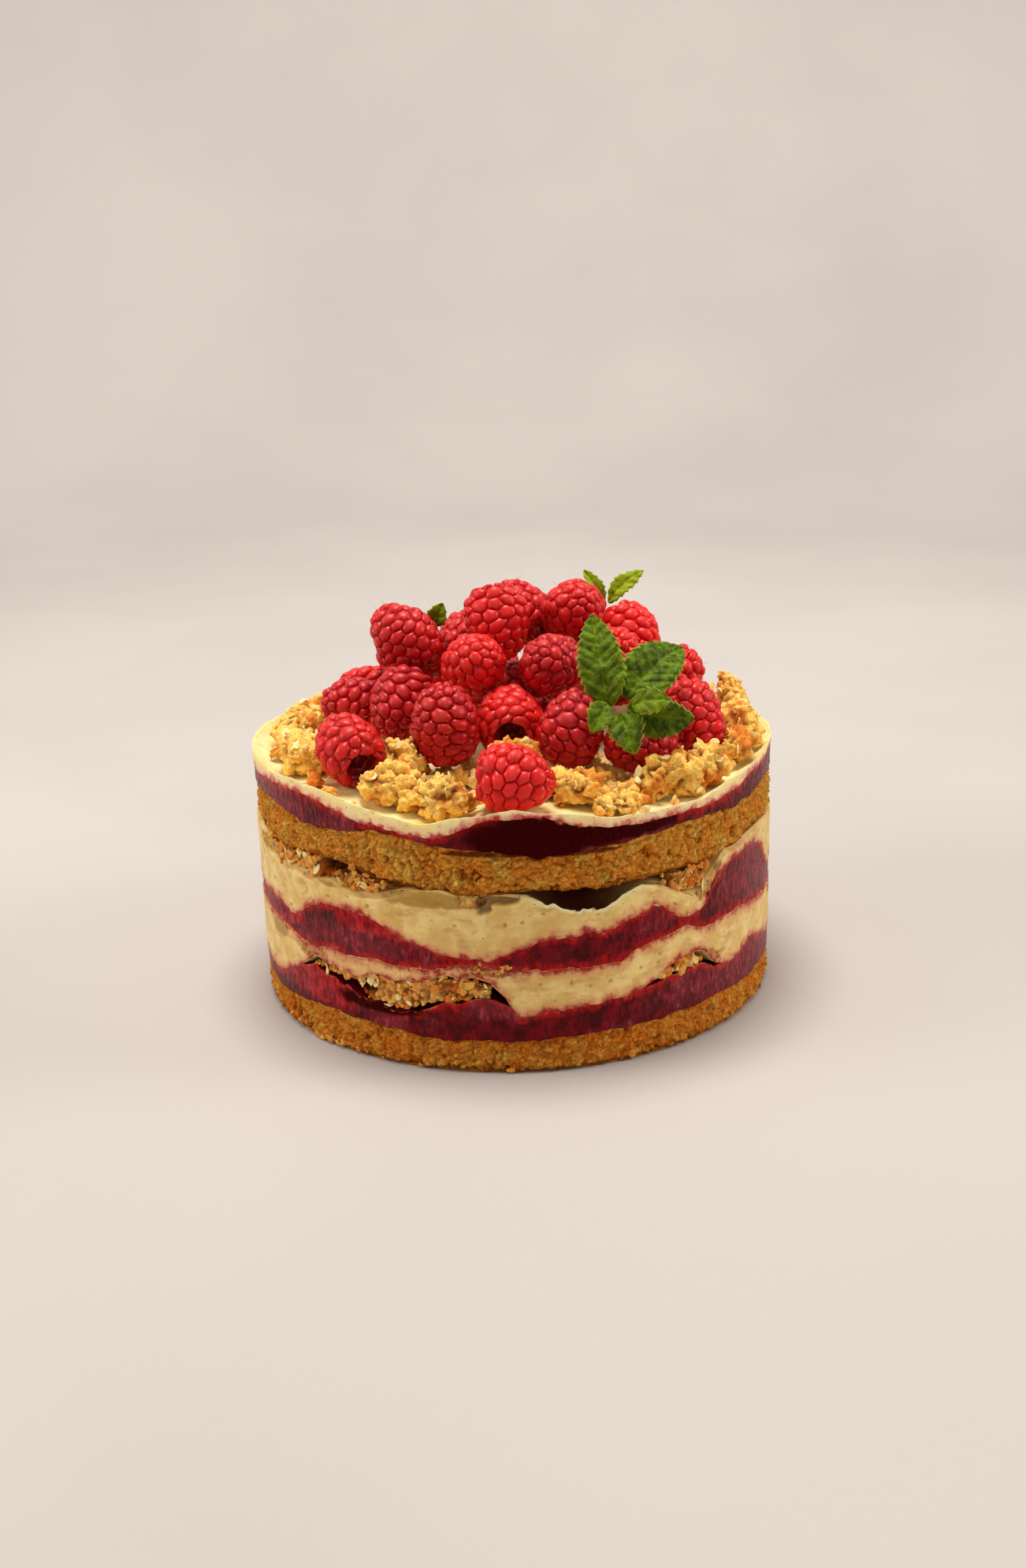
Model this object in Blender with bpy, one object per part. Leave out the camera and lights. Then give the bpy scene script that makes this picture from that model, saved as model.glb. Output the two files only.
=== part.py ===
"""A round layer cake with open sides: sponge, berry jam, vanilla cream and crumble, topped with a mound of
red berries, a broken ring of oat crumble and sprigs of mint.

Metres, +Z up. The origin is the middle of the flat base. Angles round the side are degrees from the front,
-Y, growing towards +X. The tables below are in millimetres, and MM turns them into metres.
"""
import math

import bmesh
import bpy
import numpy as np
from mathutils import Matrix, Vector

MM = 0.001

# Cake body
CAKE_RADIUS = 90.0
SPONGE_INSET = 0.5          # the sponge stands this far inside the jam and cream
JAM_INSET = 0.25
GAP = 0.3                   # free space between pieces that touch
SEGMENTS = 60               # faces round the side of a layer
POCKET_RADIUS = 72.0        # the pockets in the side end at this circle
POCKET_FADE = 3             # how fast the side's waves fade between the side and that circle
LIP_RADIUS = 83.0           # the top cream's wavy lip lies outside this circle
LIP_FADE = 10
LIP_DROP = 5.0              # the cream inside the lip is up to this much lower
CREAM_LEAST = 1.3           # least thickness of the cream inside the lip
MIN_LAYER = 1.5             # thinnest place of a layer at the side

# Height at the side, for an angle round the cake, and at the centre
BASE_TOP = {-165: 12, -120: 13, -80: 12, -65: 11, -40: 13.5, -10: 11, 10: 12, 45: 12.5, 80: 11.5, 120: 13}
LOWER_JAM_TOP = {
    -165: 22, -140: 19, -110: 24, -85: 18, -65: 17, -49: 26, -42: 25.5, -35: 21, -25: 19, -15: 23,
    -8: 26, 0: 21, 12: 21.5, 30: 25, 42: 25, 50: 22, 62: 25, 72: 20, 90: 21, 115: 25, 140: 20,
}
LOWER_CREAM_TOP = {
    -155: 38, -130: 34, -105: 36, -75: 38, -65: 36, -50: 34, -40: 35, -20: 34, -8: 36.5, 3: 34.5,
    15: 34.5, 25: 37, 34: 42, 40: 38, 50: 39, 72: 37, 90: 35, 110: 38, 130: 34, 160: 37,
}
MIDDLE_JAM_TOP = {
    -155: 42, -130: 50, -105: 47, -88: 44, -72: 44, -60: 43.5, -51: 41.5, -46: 50, -36: 50, -28: 48.5,
    -22: 42, -14: 40, -8: 38.8, 0: 42, 8: 45.5, 20: 45.5, 29: 51.5, 35: 43.8, 42: 47, 50: 57, 63: 58.5,
    72: 46, 90: 42, 108: 50, 130: 44, 155: 52,
}
SPONGE_BOTTOM = {
    -150: 62, -120: 60, -95: 65, -75: 66, -62: 63, -50: 65, -38: 66, -28: 61.5, -10: 60, 15: 60,
    30: 60.5, 50: 61, 62: 63, 90: 62, 120: 61, 150: 60,
}
SPONGE_TOP = {
    -150: 75, -120: 79, -98: 76, -75: 78, -62: 79, -48: 75.5, -38: 76.5, -28: 78, -18: 76, -8: 74,
    8: 72.3, 22: 74, 38: 76.3, 55: 75, 72: 78, 95: 76, 125: 79, 155: 75,
}
TOP_JAM_TOP = {
    -150: 81, -120: 84, -98: 82, -75: 84, -62: 85, -48: 86, -38: 82.5, -28: 79.8, -20: 78.2, -14: 78.5,
    -8: 84, 3: 85, 12: 81.5, 22: 79.2, 42: 79.6, 50: 81, 62: 84, 75: 86, 95: 82, 120: 85, 155: 80,
}
CREAM_TOP = {
    -150: 88, -120: 86, -98: 88, -75: 89, -62: 88, -50: 89, -40: 88, -30: 85, -20: 82.3, -10: 84.5,
    0: 87, 10: 85, 22: 82, 40: 82.3, 50: 85, 62: 86, 90: 87, 120: 86, 150: 88,
}
CENTRE_HEIGHTS = {"base": 12, "lower_jam": 21, "lower_cream": 36, "middle_jam": 46, "upper_cream": 60,
                  "sponge": 73, "top_jam": 78, "cream": 84}

# How far the layer above stands off at the side: pockets of crumble, and one open hollow at the front
LOWER_POCKETS = {
    -54: 0, -48: 3, -42: 4.5, -36: 6, -30: 10, -24: 11, -18: 10, -12: 9, -6: 6, 0: 0, 24: 0, 30: 2.5,
    36: 5.5, 42: 4.5, 48: 0, 180: 0,
}
UPPER_POCKETS = {
    -66: 0, -60: 5, -48: 7.5, -36: 9, -30: 5.5, -24: 2.5, -18: 0, 0: 0, 6: 4, 12: 6.5, 18: 5.5, 24: 2,
    30: 3, 36: 9, 42: 9, 48: 0, 132: 0, 138: 3, 144: 7, 162: 8, 174: 3, 180: 0,
}
POCKET_SPANS = {
    "lower_crumble_left": ("lower", -48, -6),
    "lower_crumble_right": ("lower", 30, 42),
    "upper_crumble_left": ("upper", -60, -24),
    "upper_crumble_right": ("upper", 30, 42),
    "upper_crumble_back": ("upper", 138, 174),
}
POCKET_DEPTH = 13.0
POCKET_CLEARANCE = 0.5

# Berries: the middle, where the tip points (degrees round from the front, degrees above level), the size
BERRY_LENGTH = 24.0
BERRY_WIDTH = 20.6
BERRY_SIDES = 14
BERRY_ROWS = (-1.0, -0.6, -0.2, 0.22, 0.58, 0.85)     # -1 is the open stem end, 1 the tip
BUMP = 0.55
HOLLOW_SHARE = 0.46         # mouth of the stem hollow, as a share of the berry's width
HOLLOW_DEPTH = 0.5          # depth of the hollow, as a share of the berry's length
STEM_NARROWING = 0.26
BERRIES = {
    "berry_rim_left": ((-53, -46, 93.5), -150, 25, 0.96),
    "berry_rim_front": ((1, -78, 90.0), 80, -5, 0.95),
    "berry_low_01": ((-54, -2, 98), -60, 20, 0.93),
    "berry_low_02": ((-36.5, -16, 103), -40, -45, 1.0),
    "berry_low_03": ((-18, -40, 101.5), -20, 80, 1.02),
    "berry_low_04": ((1, -31, 104), 178, 18, 1.02),
    "berry_low_05": ((21, -44, 99.5), 80, 70, 0.98),
    "berry_low_06": ((38, -44, 94), -60, 10, 0.92),
    "berry_low_07": ((60, -28, 97), 50, -40, 1.0),
    "berry_low_08": ((55, -3, 106), 80, 30, 0.96),
    "berry_low_09": ((56, 20, 96), 100, 10, 0.98),
    "berry_low_10": ((41, 42, 98), 140, 20, 1.0),
    "berry_low_11": ((18, 55, 96), 165, -20, 0.96),
    "berry_low_12": ((-7, 57, 96), 190, 30, 1.02),
    "berry_low_13": ((-31, 47, 99), -150, 60, 0.98),
    "berry_low_14": ((-49, 25, 96), -100, 20, 0.98),
    "berry_inner_01": ((-13, 6, 95), 30, 0, 0.92),
    "berry_inner_02": ((14, -2, 95), 200, 0, 0.92),
    "berry_inner_03": ((4, 30, 95), 90, 0, 0.92),
    "berry_mid_01": ((-38, 20, 109), -60, 30, 0.92),
    "berry_mid_02": ((-10, -19, 115), 20, 30, 0.98),
    "berry_mid_03": ((12, -22, 111), -30, 25, 1.0),
    "berry_mid_04": ((33, -6, 114), 60, 30, 0.95),
    "berry_mid_05": ((44, 16, 114), 30, -40, 0.95),
    "berry_mid_06": ((25, 34, 111), 150, 20, 0.98),
    "berry_mid_07": ((-15, 34, 112), -160, 25, 0.98),
    "berry_high_01": ((-36, -2, 120), -90, 45, 1.0),
    "berry_high_02": ((-4, 0, 124.5), 20, -65, 1.0),
    "berry_high_03": ((22.5, 8, 126.5), 10, 25, 0.98),
    "berry_high_04": ((6, 26, 124), -120, 40, 0.95),
}
SETTLE_ROUNDS = 400
SETTLE_PULL = 0.05          # how strongly a berry is drawn to its own place
SETTLE_PUSH = 0.35          # how much of an overlap each of two berries gives way
BERRY_GAP = 0.5
BERRY_REACH = 1.2           # berries further apart than this many lengths never touch
# Balls that stand for a berry while it settles: place along its axis and radius, as shares of its length
BERRY_BALLS = ((-0.14, 0.455), (0.10, 0.43), (0.26, 0.31))

# Crumble: lumps as (x, y, width, depth, height), each row fused into one piece
CRUMBLE = {
    "crumble_left": (
        (-67, 36, 21, 15, 13), (-74, 20, 24, 17, 11), (-76, 3, 24, 15, 12), (-75, -14, 24, 15, 10),
        (-68, -30, 22, 17, 13),
    ),
    "crumble_front_left": (
        (-36, -44, 17, 17, 15), (-39, -61, 18, 17, 14), (-29, -67, 15, 13, 11), (-21, -75, 19, 15, 14),
    ),
    "crumble_front": ((1, -57, 17, 12, 19), (12, -62, 13, 11, 11), (21, -67, 17, 13, 13)),
    "crumble_front_right": (
        (31, -76, 15, 11, 8), (36, -67, 11, 12, 8), (45, -63, 9, 9, 14), (53, -60, 13, 13, 15),
        (62, -52, 15, 14, 16),
    ),
    "crumble_right": (
        (72, -31, 18, 15, 13), (76, -17, 19, 15, 16), (79, -2, 18, 13, 15), (79, 13, 17, 9, 21),
    ),
    "crumble_back_right": ((68, 38, 22, 15, 12), (58, 52, 22, 15, 14), (45, 63, 20, 14, 10)),
    "crumble_back": ((24, 74, 22, 14, 13), (8, 77, 21, 14, 11), (-8, 77, 20, 14, 14)),
    "crumble_back_left": ((-31, 71, 18, 14, 11), (-44, 62, 19, 14, 14), (-54, 54, 16, 14, 11)),
}
CRUMBLE_EDGE = 87.0         # the crumble stays inside this circle
CRUMBLE_LIFT = 1.0          # free height between a lump's foot and the cream
LUMP_UNEVEN = 0.22
LUMP_MIDDLE = 0.42          # height of a lump's middle and half height, as shares of its height
LUMP_HALF = 0.55
PUSH_ROUNDS = 6
LUMP_CLEARANCE = 1.4

# Mint: name, base, tip, width, arch away from the straight line, roll about the leaf's length
LEAF_THICKNESS = 0.6
LEAF_LENGTHS = 6
LEAF_WIDTHS = 4
LEAF_CLEARANCE = 0.9
LEAF_POINT = 0.09           # width left at both ends, as a share of the widest place
LEAF_FULLNESS = 0.8
LEAF_FOLD = 0.25            # rise of the halves on both sides of the rib, as a share of the half width
LEAF_WAVE = 0.5
LEAF_FACING = (0, -1, 0.35) # the side that a leaf without roll shows
LEAVES = {
    "mint_front_tall": ((31, -47, 106.5), (27, -33, 134), 15, 3.0, 0),
    "mint_front_upper_right": ((37, -46, 109), (56.5, -31, 122), 18, 3.5, -20),
    "mint_front_lower_right": ((37, -51, 107.5), (58, -53, 104.5), 15, 3.0, 25),
    "mint_front_bottom": ((34.5, -54, 106), (38.5, -63, 96), 11, 2.0, 0),
    "mint_front_small": ((30, -53, 109), (25, -60, 102.5), 9, 1.5, 0),
    "mint_front_inner": ((38, -58.5, 110), (50, -60.5, 112), 9, 1.5, -20),
    "mint_back_left": ((33.5, 27, 125.5), (27.5, 27, 138), 7, 1.5, 20),
    "mint_back_right": ((36.5, 27, 125.5), (49, 28, 137), 7.5, 2.5, -30),
    "mint_left": ((-26, 8, 123.5), (-22.5, 7, 131.5), 7, 1.0, 0),
}

COLOURS = {
    "base_sponge": ((0.53, 0.27, 0.075), 0.9),
    "sponge": ((0.62, 0.37, 0.12), 0.9),
    "jam": ((0.24, 0.006, 0.018), 0.3),
    "cream": ((0.85, 0.72, 0.38), 0.45),
    "berry": ((0.50, 0.012, 0.022), 0.4),
    "crumble": ((0.74, 0.47, 0.17), 0.85),
    "mint": ((0.06, 0.19, 0.025), 0.5),
}


def smooth_height(table, angle):
    """Value of a table at an angle: level at each entry, with a smooth rise between neighbours."""
    entries = sorted(table.items())
    first, last = entries[0], entries[-1]
    entries = [(last[0] - 360, last[1]), *entries, (first[0] + 360, first[1])]
    angle = (angle - entries[0][0]) % 360 + entries[0][0]
    for (low, start), (high, end) in zip(entries, entries[1:]):
        if low <= angle <= high:
            share = (angle - low) / (high - low)
            return start + (end - start) * share * share * (3 - 2 * share)
    return last[1]


def side_point(angle, radius, height):
    turn = math.radians(angle)
    return Vector((radius * math.sin(turn), -radius * math.cos(turn), height)) * MM


def clear_scene():
    for thing in list(bpy.data.objects):
        bpy.data.objects.remove(thing)


def material(name):
    found = bpy.data.materials.get(name)
    if found:
        return found
    colour, roughness = COLOURS[name]
    made = bpy.data.materials.new(name)
    made.use_nodes = True
    shader = made.node_tree.nodes["Principled BSDF"]
    shader.inputs["Base Color"].default_value = (*colour, 1.0)
    shader.inputs["Roughness"].default_value = roughness
    shader.inputs["Metallic"].default_value = 0.0
    return made


def add_object(name, mesh, finish, smooth=False):
    made = bpy.data.objects.new(name, mesh)
    bpy.context.scene.collection.objects.link(made)
    made.data.materials.clear()
    made.data.materials.append(material(finish))
    if smooth:
        made.data.shade_smooth()
    return made


def mesh_from(name, points, faces):
    """A closed mesh of triangles with every face pointing out."""
    body = bmesh.new()
    corners = [body.verts.new(point) for point in points]
    for face in faces:
        body.faces.new([corners[index] for index in face])
    bmesh.ops.triangulate(body, faces=body.faces)
    bmesh.ops.recalc_face_normals(body, faces=body.faces)
    mesh = bpy.data.meshes.new(name)
    body.to_mesh(mesh)
    body.free()
    return mesh


# Layers: a surface between two layers has side heights at each segment, an inner ring or None, and a centre

def segment_angles():
    return [360.0 * index / SEGMENTS - 180.0 for index in range(SEGMENTS)]


def surface(table, centre, ring_radius=None, fade=0):
    side = [smooth_height(table, angle) for angle in segment_angles()]
    ring = [ring_height(height, centre, ring_radius, fade) for height in side] if ring_radius else None
    return side, ring, centre


def ring_height(side, centre, radius, fade):
    """Height on an inner ring: the side's waves fade towards the centre."""
    return centre + (side - centre) * (radius / CAKE_RADIUS) ** fade


def raised(above, below):
    """The upper surface, kept at least MIN_LAYER above the lower one at the side."""
    side, ring, centre = above
    return [max(height, low + MIN_LAYER) for height, low in zip(side, below[0])], ring, centre


def shifted(original, lift):
    side, ring, centre = original
    return [height + lift for height in side], ring and [height + lift for height in ring], centre + lift


def opened(original, table, direction):
    """A surface whose side moves up or down where the pockets of a table open."""
    side, ring, centre = original
    opening = [direction * smooth_height(table, angle) for angle in segment_angles()]
    return [height + move for height, move in zip(side, opening)], ring, centre


def lip_foot(angle):
    """Height of the cream just inside its lip: below the lip, and above the jam under it."""
    jam = ring_height(smooth_height(TOP_JAM_TOP, angle), CENTRE_HEIGHTS["top_jam"], LIP_RADIUS, LIP_FADE)
    return max(smooth_height(CREAM_TOP, angle) - LIP_DROP, jam + CREAM_LEAST)


def cream_height(x, y):
    """Height of the top cream's surface, with its lip."""
    angle = math.degrees(math.atan2(x, -y))
    radius = min(math.hypot(x, y), CAKE_RADIUS)
    foot = lip_foot(angle)
    centre = CENTRE_HEIGHTS["cream"]
    if radius < LIP_RADIUS:
        return centre + (foot - centre) * radius / LIP_RADIUS
    share = (radius - LIP_RADIUS) / (CAKE_RADIUS - LIP_RADIUS)
    return foot + (smooth_height(CREAM_TOP, angle) - foot) * share


def layer(name, finish, radius, low, high, ring_radii=(POCKET_RADIUS, POCKET_RADIUS)):
    """A closed disc between two surfaces, each with its side, its inner ring and its centre."""
    rings = [(radius, low[0]), (radius, high[0])]
    if low[1]:
        rings.insert(0, (ring_radii[0], low[1]))
    if high[1]:
        rings.append((ring_radii[1], high[1]))
    points = [side_point(0, 0, low[2])]
    for ring_size, heights in rings:
        for angle, height in zip(segment_angles(), heights):
            points.append(side_point(angle, ring_size, height))
    points.append(side_point(0, 0, high[2]))
    last = len(points) - 1
    side_band = 1 if low[1] else 0
    faces = []
    for index in range(SEGMENTS):
        after = (index + 1) % SEGMENTS
        faces.append((0, 1 + index, 1 + after))
        faces.append((last, last - SEGMENTS + index, last - SEGMENTS + after))
        for band in range(len(rings) - 1):
            near = 1 + band * SEGMENTS
            far = near + SEGMENTS
            # Diagonals start from the inner ring, so that two layers that share a surface split it alike
            inner, outer = (near, far) if band < side_band else (far, near)
            faces.append((inner + index, outer + index, outer + after))
            faces.append((inner + index, outer + after, inner + after))
    return add_object(name, mesh_from(name, points, faces), finish)


def make_layers():
    """The eight layers, from the base sponge to the top cream."""
    half = GAP / 2
    floor = ([0.0] * SEGMENTS, None, 0.0)
    base = surface(BASE_TOP, CENTRE_HEIGHTS["base"])
    lower_jam = surface(LOWER_JAM_TOP, CENTRE_HEIGHTS["lower_jam"], POCKET_RADIUS, POCKET_FADE)
    lower_cream = surface(LOWER_CREAM_TOP, CENTRE_HEIGHTS["lower_cream"])
    middle_jam = raised(surface(MIDDLE_JAM_TOP, CENTRE_HEIGHTS["middle_jam"]), lower_cream)
    upper_cream = surface(SPONGE_BOTTOM, CENTRE_HEIGHTS["upper_cream"], POCKET_RADIUS, POCKET_FADE)
    sponge = surface(SPONGE_TOP, CENTRE_HEIGHTS["sponge"])
    top_jam = raised(surface(TOP_JAM_TOP, CENTRE_HEIGHTS["top_jam"], LIP_RADIUS, LIP_FADE), sponge)
    rim = raised(surface(CREAM_TOP, CENTRE_HEIGHTS["cream"]), top_jam)
    top = (rim[0], [lip_foot(angle) for angle in segment_angles()], rim[2])

    sponge_radius = CAKE_RADIUS - SPONGE_INSET
    jam_radius = CAKE_RADIUS - JAM_INSET
    cream_floor = opened(shifted(lower_jam, half), LOWER_POCKETS, 1)
    cream_roof = opened(shifted(upper_cream, -half), UPPER_POCKETS, -1)
    layer("base_sponge", "base_sponge", sponge_radius, floor, shifted(base, -half))
    layer("lower_jam", "jam", jam_radius, shifted(base, half), shifted(lower_jam, -half))
    layer("lower_cream", "cream", CAKE_RADIUS, cream_floor, shifted(lower_cream, -half))
    layer("middle_jam", "jam", jam_radius, shifted(lower_cream, half), shifted(middle_jam, -half))
    layer("upper_cream", "cream", CAKE_RADIUS, shifted(middle_jam, half), cream_roof)
    layer("top_sponge", "sponge", sponge_radius, shifted(upper_cream, half), shifted(sponge, -half))
    layer("top_jam", "jam", jam_radius, shifted(sponge, half), shifted(top_jam, -half), (None, LIP_RADIUS))
    layer("top_cream", "cream", CAKE_RADIUS, shifted(top_jam, half), top, (LIP_RADIUS, LIP_RADIUS))


def pocket(name, level, start, end):
    """Crumble in a wedge-shaped pocket between two layers at the side, with a station at each segment."""
    table, extra = (SPONGE_BOTTOM, UPPER_POCKETS) if level == "upper" else (LOWER_JAM_TOP, LOWER_POCKETS)
    centre = CENTRE_HEIGHTS["upper_cream" if level == "upper" else "lower_jam"]
    outer_radius = CAKE_RADIUS - JAM_INSET
    inner_radius = CAKE_RADIUS - POCKET_DEPTH
    inner_share = (inner_radius - POCKET_RADIUS) / (CAKE_RADIUS - POCKET_RADIUS)
    step = 360 // SEGMENTS
    stations = range(start, end + step, step)
    points = []
    for angle in stations:
        side = smooth_height(table, angle)
        opening = smooth_height(extra, angle)
        ring = ring_height(side, centre, POCKET_RADIUS, POCKET_FADE)
        middle = side - opening / 2 if level == "upper" else side + opening / 2
        outer_half = opening / 2 - POCKET_CLEARANCE
        inner_half = max(opening * inner_share / 2 - POCKET_CLEARANCE, outer_half * 0.1)
        inner_middle = ring + (middle - ring) * inner_share
        points.append(side_point(angle, inner_radius, inner_middle - inner_half))
        points.append(side_point(angle, outer_radius, middle - outer_half))
        points.append(side_point(angle, outer_radius, middle + outer_half))
        points.append(side_point(angle, inner_radius, inner_middle + inner_half))
    faces = [(0, 1, 2, 3), tuple(len(points) - index for index in (1, 2, 3, 4))]
    for station in range(len(stations) - 1):
        near = 4 * station
        far = near + 4
        # The diagonals match those of the layers above and below
        faces += [(near, near + 1, far + 1), (near, far + 1, far)]
        faces += [(near + 3, near + 2, far + 2), (near + 3, far + 2, far + 3)]
        faces += [(near + 1, near + 2, far + 2, far + 1), (near, near + 3, far + 3, far)]
    return add_object(name, mesh_from(name, points, faces), "crumble")


# Berries

def tip_direction(heading, rise):
    turn = math.radians(heading)
    tilt = math.radians(rise)
    return Vector((math.cos(tilt) * math.sin(turn), -math.cos(tilt) * math.cos(turn), math.sin(tilt)))


def berry_radius(place):
    """Half width of a berry, as a share of its greatest, from the stem end at -1 to the tip at 1."""
    widest = -0.2
    if place > widest:
        return math.sqrt(max(0.0, 1 - ((place - widest) / (1 - widest)) ** 2))
    return 1 - STEM_NARROWING * ((widest - place) / (1 + widest)) ** 2


def settle():
    """Berry centres after they have pushed each other apart and onto the cream."""
    names = list(BERRIES)
    wanted = np.array([BERRIES[name][0] for name in names], dtype=float)
    directions = np.array([tip_direction(*BERRIES[name][1:3]) for name in names])
    sizes = np.array([BERRIES[name][3] for name in names]) * BERRY_LENGTH
    places = wanted.copy()
    for _ in range(SETTLE_ROUNDS):
        push = (wanted - places) * SETTLE_PULL
        for first in range(len(names)):
            for second in range(first + 1, len(names)):
                if np.linalg.norm(places[first] - places[second]) > BERRY_REACH * BERRY_LENGTH:
                    continue
                deepest = 0.0
                way = None
                for along_a, size_a in BERRY_BALLS:
                    for along_b, size_b in BERRY_BALLS:
                        a = places[first] + directions[first] * along_a * sizes[first]
                        b = places[second] + directions[second] * along_b * sizes[second]
                        apart = a - b
                        distance = np.linalg.norm(apart)
                        depth = size_a * sizes[first] + size_b * sizes[second] + BERRY_GAP - distance
                        if depth > deepest:
                            deepest = depth
                            way = apart / distance
                if way is not None:
                    push[first] += way * deepest * SETTLE_PUSH
                    push[second] -= way * deepest * SETTLE_PUSH
        places = places + push
        for index in range(len(names)):
            slope = directions[index][2]
            reach = max(share - slope * along for along, share in BERRY_BALLS)
            lowest = places[index][2] - max(reach, abs(slope) / 2) * sizes[index]
            floor = cream_height(places[index][0], places[index][1]) + BERRY_GAP
            if lowest < floor:
                places[index][2] += floor - lowest
    return {name: Vector(place) for name, place in zip(names, places)}


def berry(name, centre):
    """Rows of drupelets round a hollow core: the raised points alternate with the low ones between them."""
    _, heading, rise, size = BERRIES[name]
    length = BERRY_LENGTH * size
    half_width = BERRY_WIDTH * size / 2
    points = []
    for row, place in enumerate(BERRY_ROWS):
        for side in range(BERRY_SIDES):
            turn = 2 * math.pi * side / BERRY_SIDES
            bump = BUMP if (row + side) % 2 == 0 else -BUMP
            radius = half_width * berry_radius(place) + bump
            points.append(Vector((radius * math.cos(turn), radius * math.sin(turn), place * length / 2)))
    tip = len(points)
    points.append(Vector((0, 0, length / 2)))
    mouth = len(points)
    for side in range(BERRY_SIDES):
        turn = 2 * math.pi * side / BERRY_SIDES
        radius = half_width * HOLLOW_SHARE
        points.append(Vector((radius * math.cos(turn), radius * math.sin(turn), -length / 2 + BUMP)))
    pit = len(points)
    points.append(Vector((0, 0, length * (HOLLOW_DEPTH - 0.5))))

    faces = []
    for side in range(BERRY_SIDES):
        after = (side + 1) % BERRY_SIDES
        for row in range(len(BERRY_ROWS) - 1):
            low = row * BERRY_SIDES
            high = low + BERRY_SIDES
            if (row + side) % 2 == 0:
                faces.append((low + side, low + after, high + side))
                faces.append((low + after, high + after, high + side))
            else:
                faces.append((low + side, low + after, high + after))
                faces.append((low + side, high + after, high + side))
        faces.append((tip - BERRY_SIDES + side, tip - BERRY_SIDES + after, tip))
        faces.append((side, mouth + side, after))
        faces.append((after, mouth + side, mouth + after))
        faces.append((mouth + side, pit, mouth + after))
    made = add_object(name, mesh_from(name, points, faces), "berry", smooth=True)
    made.data.transform(Matrix.Scale(MM, 4))
    made.rotation_mode = "QUATERNION"
    made.rotation_quaternion = tip_direction(heading, rise).to_track_quat("Z", "Y")
    made.location = centre * MM
    return made


# Crumble and mint keep clear of the berries and the cream

def berry_balls(places):
    balls = []
    for name, centre in places.items():
        _, heading, rise, size = BERRIES[name]
        way = tip_direction(heading, rise)
        for along, share in BERRY_BALLS:
            balls.append((centre + way * along * size * BERRY_LENGTH, share * size * BERRY_LENGTH))
    return balls


def pushed_out(point, balls, clearance):
    """The point moved out of every ball, by the shortest way."""
    moved = Vector(point)
    for _ in range(PUSH_ROUNDS):
        for centre, radius in balls:
            away = moved - centre
            if away.length < radius + clearance:
                moved = centre + away.normalized() * (radius + clearance)
    return moved


def lump(name, x, y, width, depth, height, balls, seed):
    """One rough ball of crumble, flat where it lies on the cream."""
    chance = np.random.default_rng(seed)
    body = bmesh.new()
    bmesh.ops.create_icosphere(body, subdivisions=2, radius=1.0)
    foot = cream_height(x, y)
    out = Vector((x, y, 0)).normalized()
    along = Vector((-out.y, out.x, 0))
    for corner in body.verts:
        uneven = 1 + chance.uniform(-LUMP_UNEVEN, LUMP_UNEVEN)
        place = Vector((x, y, foot + height * LUMP_MIDDLE))
        place += along * corner.co.x * uneven * width / 2
        place += out * corner.co.y * uneven * depth / 2
        place += Vector((0, 0, corner.co.z * uneven * height * LUMP_HALF))
        place = pushed_out(place, balls, LUMP_CLEARANCE)
        reach = math.hypot(place.x, place.y)
        if reach > CRUMBLE_EDGE:
            place.x *= CRUMBLE_EDGE / reach
            place.y *= CRUMBLE_EDGE / reach
        place.z = max(place.z, cream_height(place.x, place.y) + CRUMBLE_LIFT)
        corner.co = place * MM
    bmesh.ops.recalc_face_normals(body, faces=body.faces)
    mesh = bpy.data.meshes.new(name)
    body.to_mesh(mesh)
    body.free()
    return add_object(name, mesh, "crumble")


def crumble(name, rows, balls, seed):
    """A heap of lumps fused into one piece."""
    lumps = [lump("%s_lump_%d" % (name, index), *row, balls, seed + index) for index, row in enumerate(rows)]
    group = bpy.data.collections.new(name + "_lumps")
    bpy.context.scene.collection.children.link(group)
    for thing in lumps[1:]:
        bpy.context.scene.collection.objects.unlink(thing)
        group.objects.link(thing)
    fuse = lumps[0].modifiers.new("fuse", "BOOLEAN")
    fuse.operation = "UNION"
    fuse.operand_type = "COLLECTION"
    fuse.collection = group
    fuse.solver = "EXACT"
    bpy.context.view_layer.update()
    result = bpy.data.meshes.new_from_object(lumps[0].evaluated_get(bpy.context.evaluated_depsgraph_get()))
    for thing in lumps:
        bpy.data.objects.remove(thing)
    bpy.data.collections.remove(group)
    result.name = name
    return add_object(name, result, "crumble")


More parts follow.
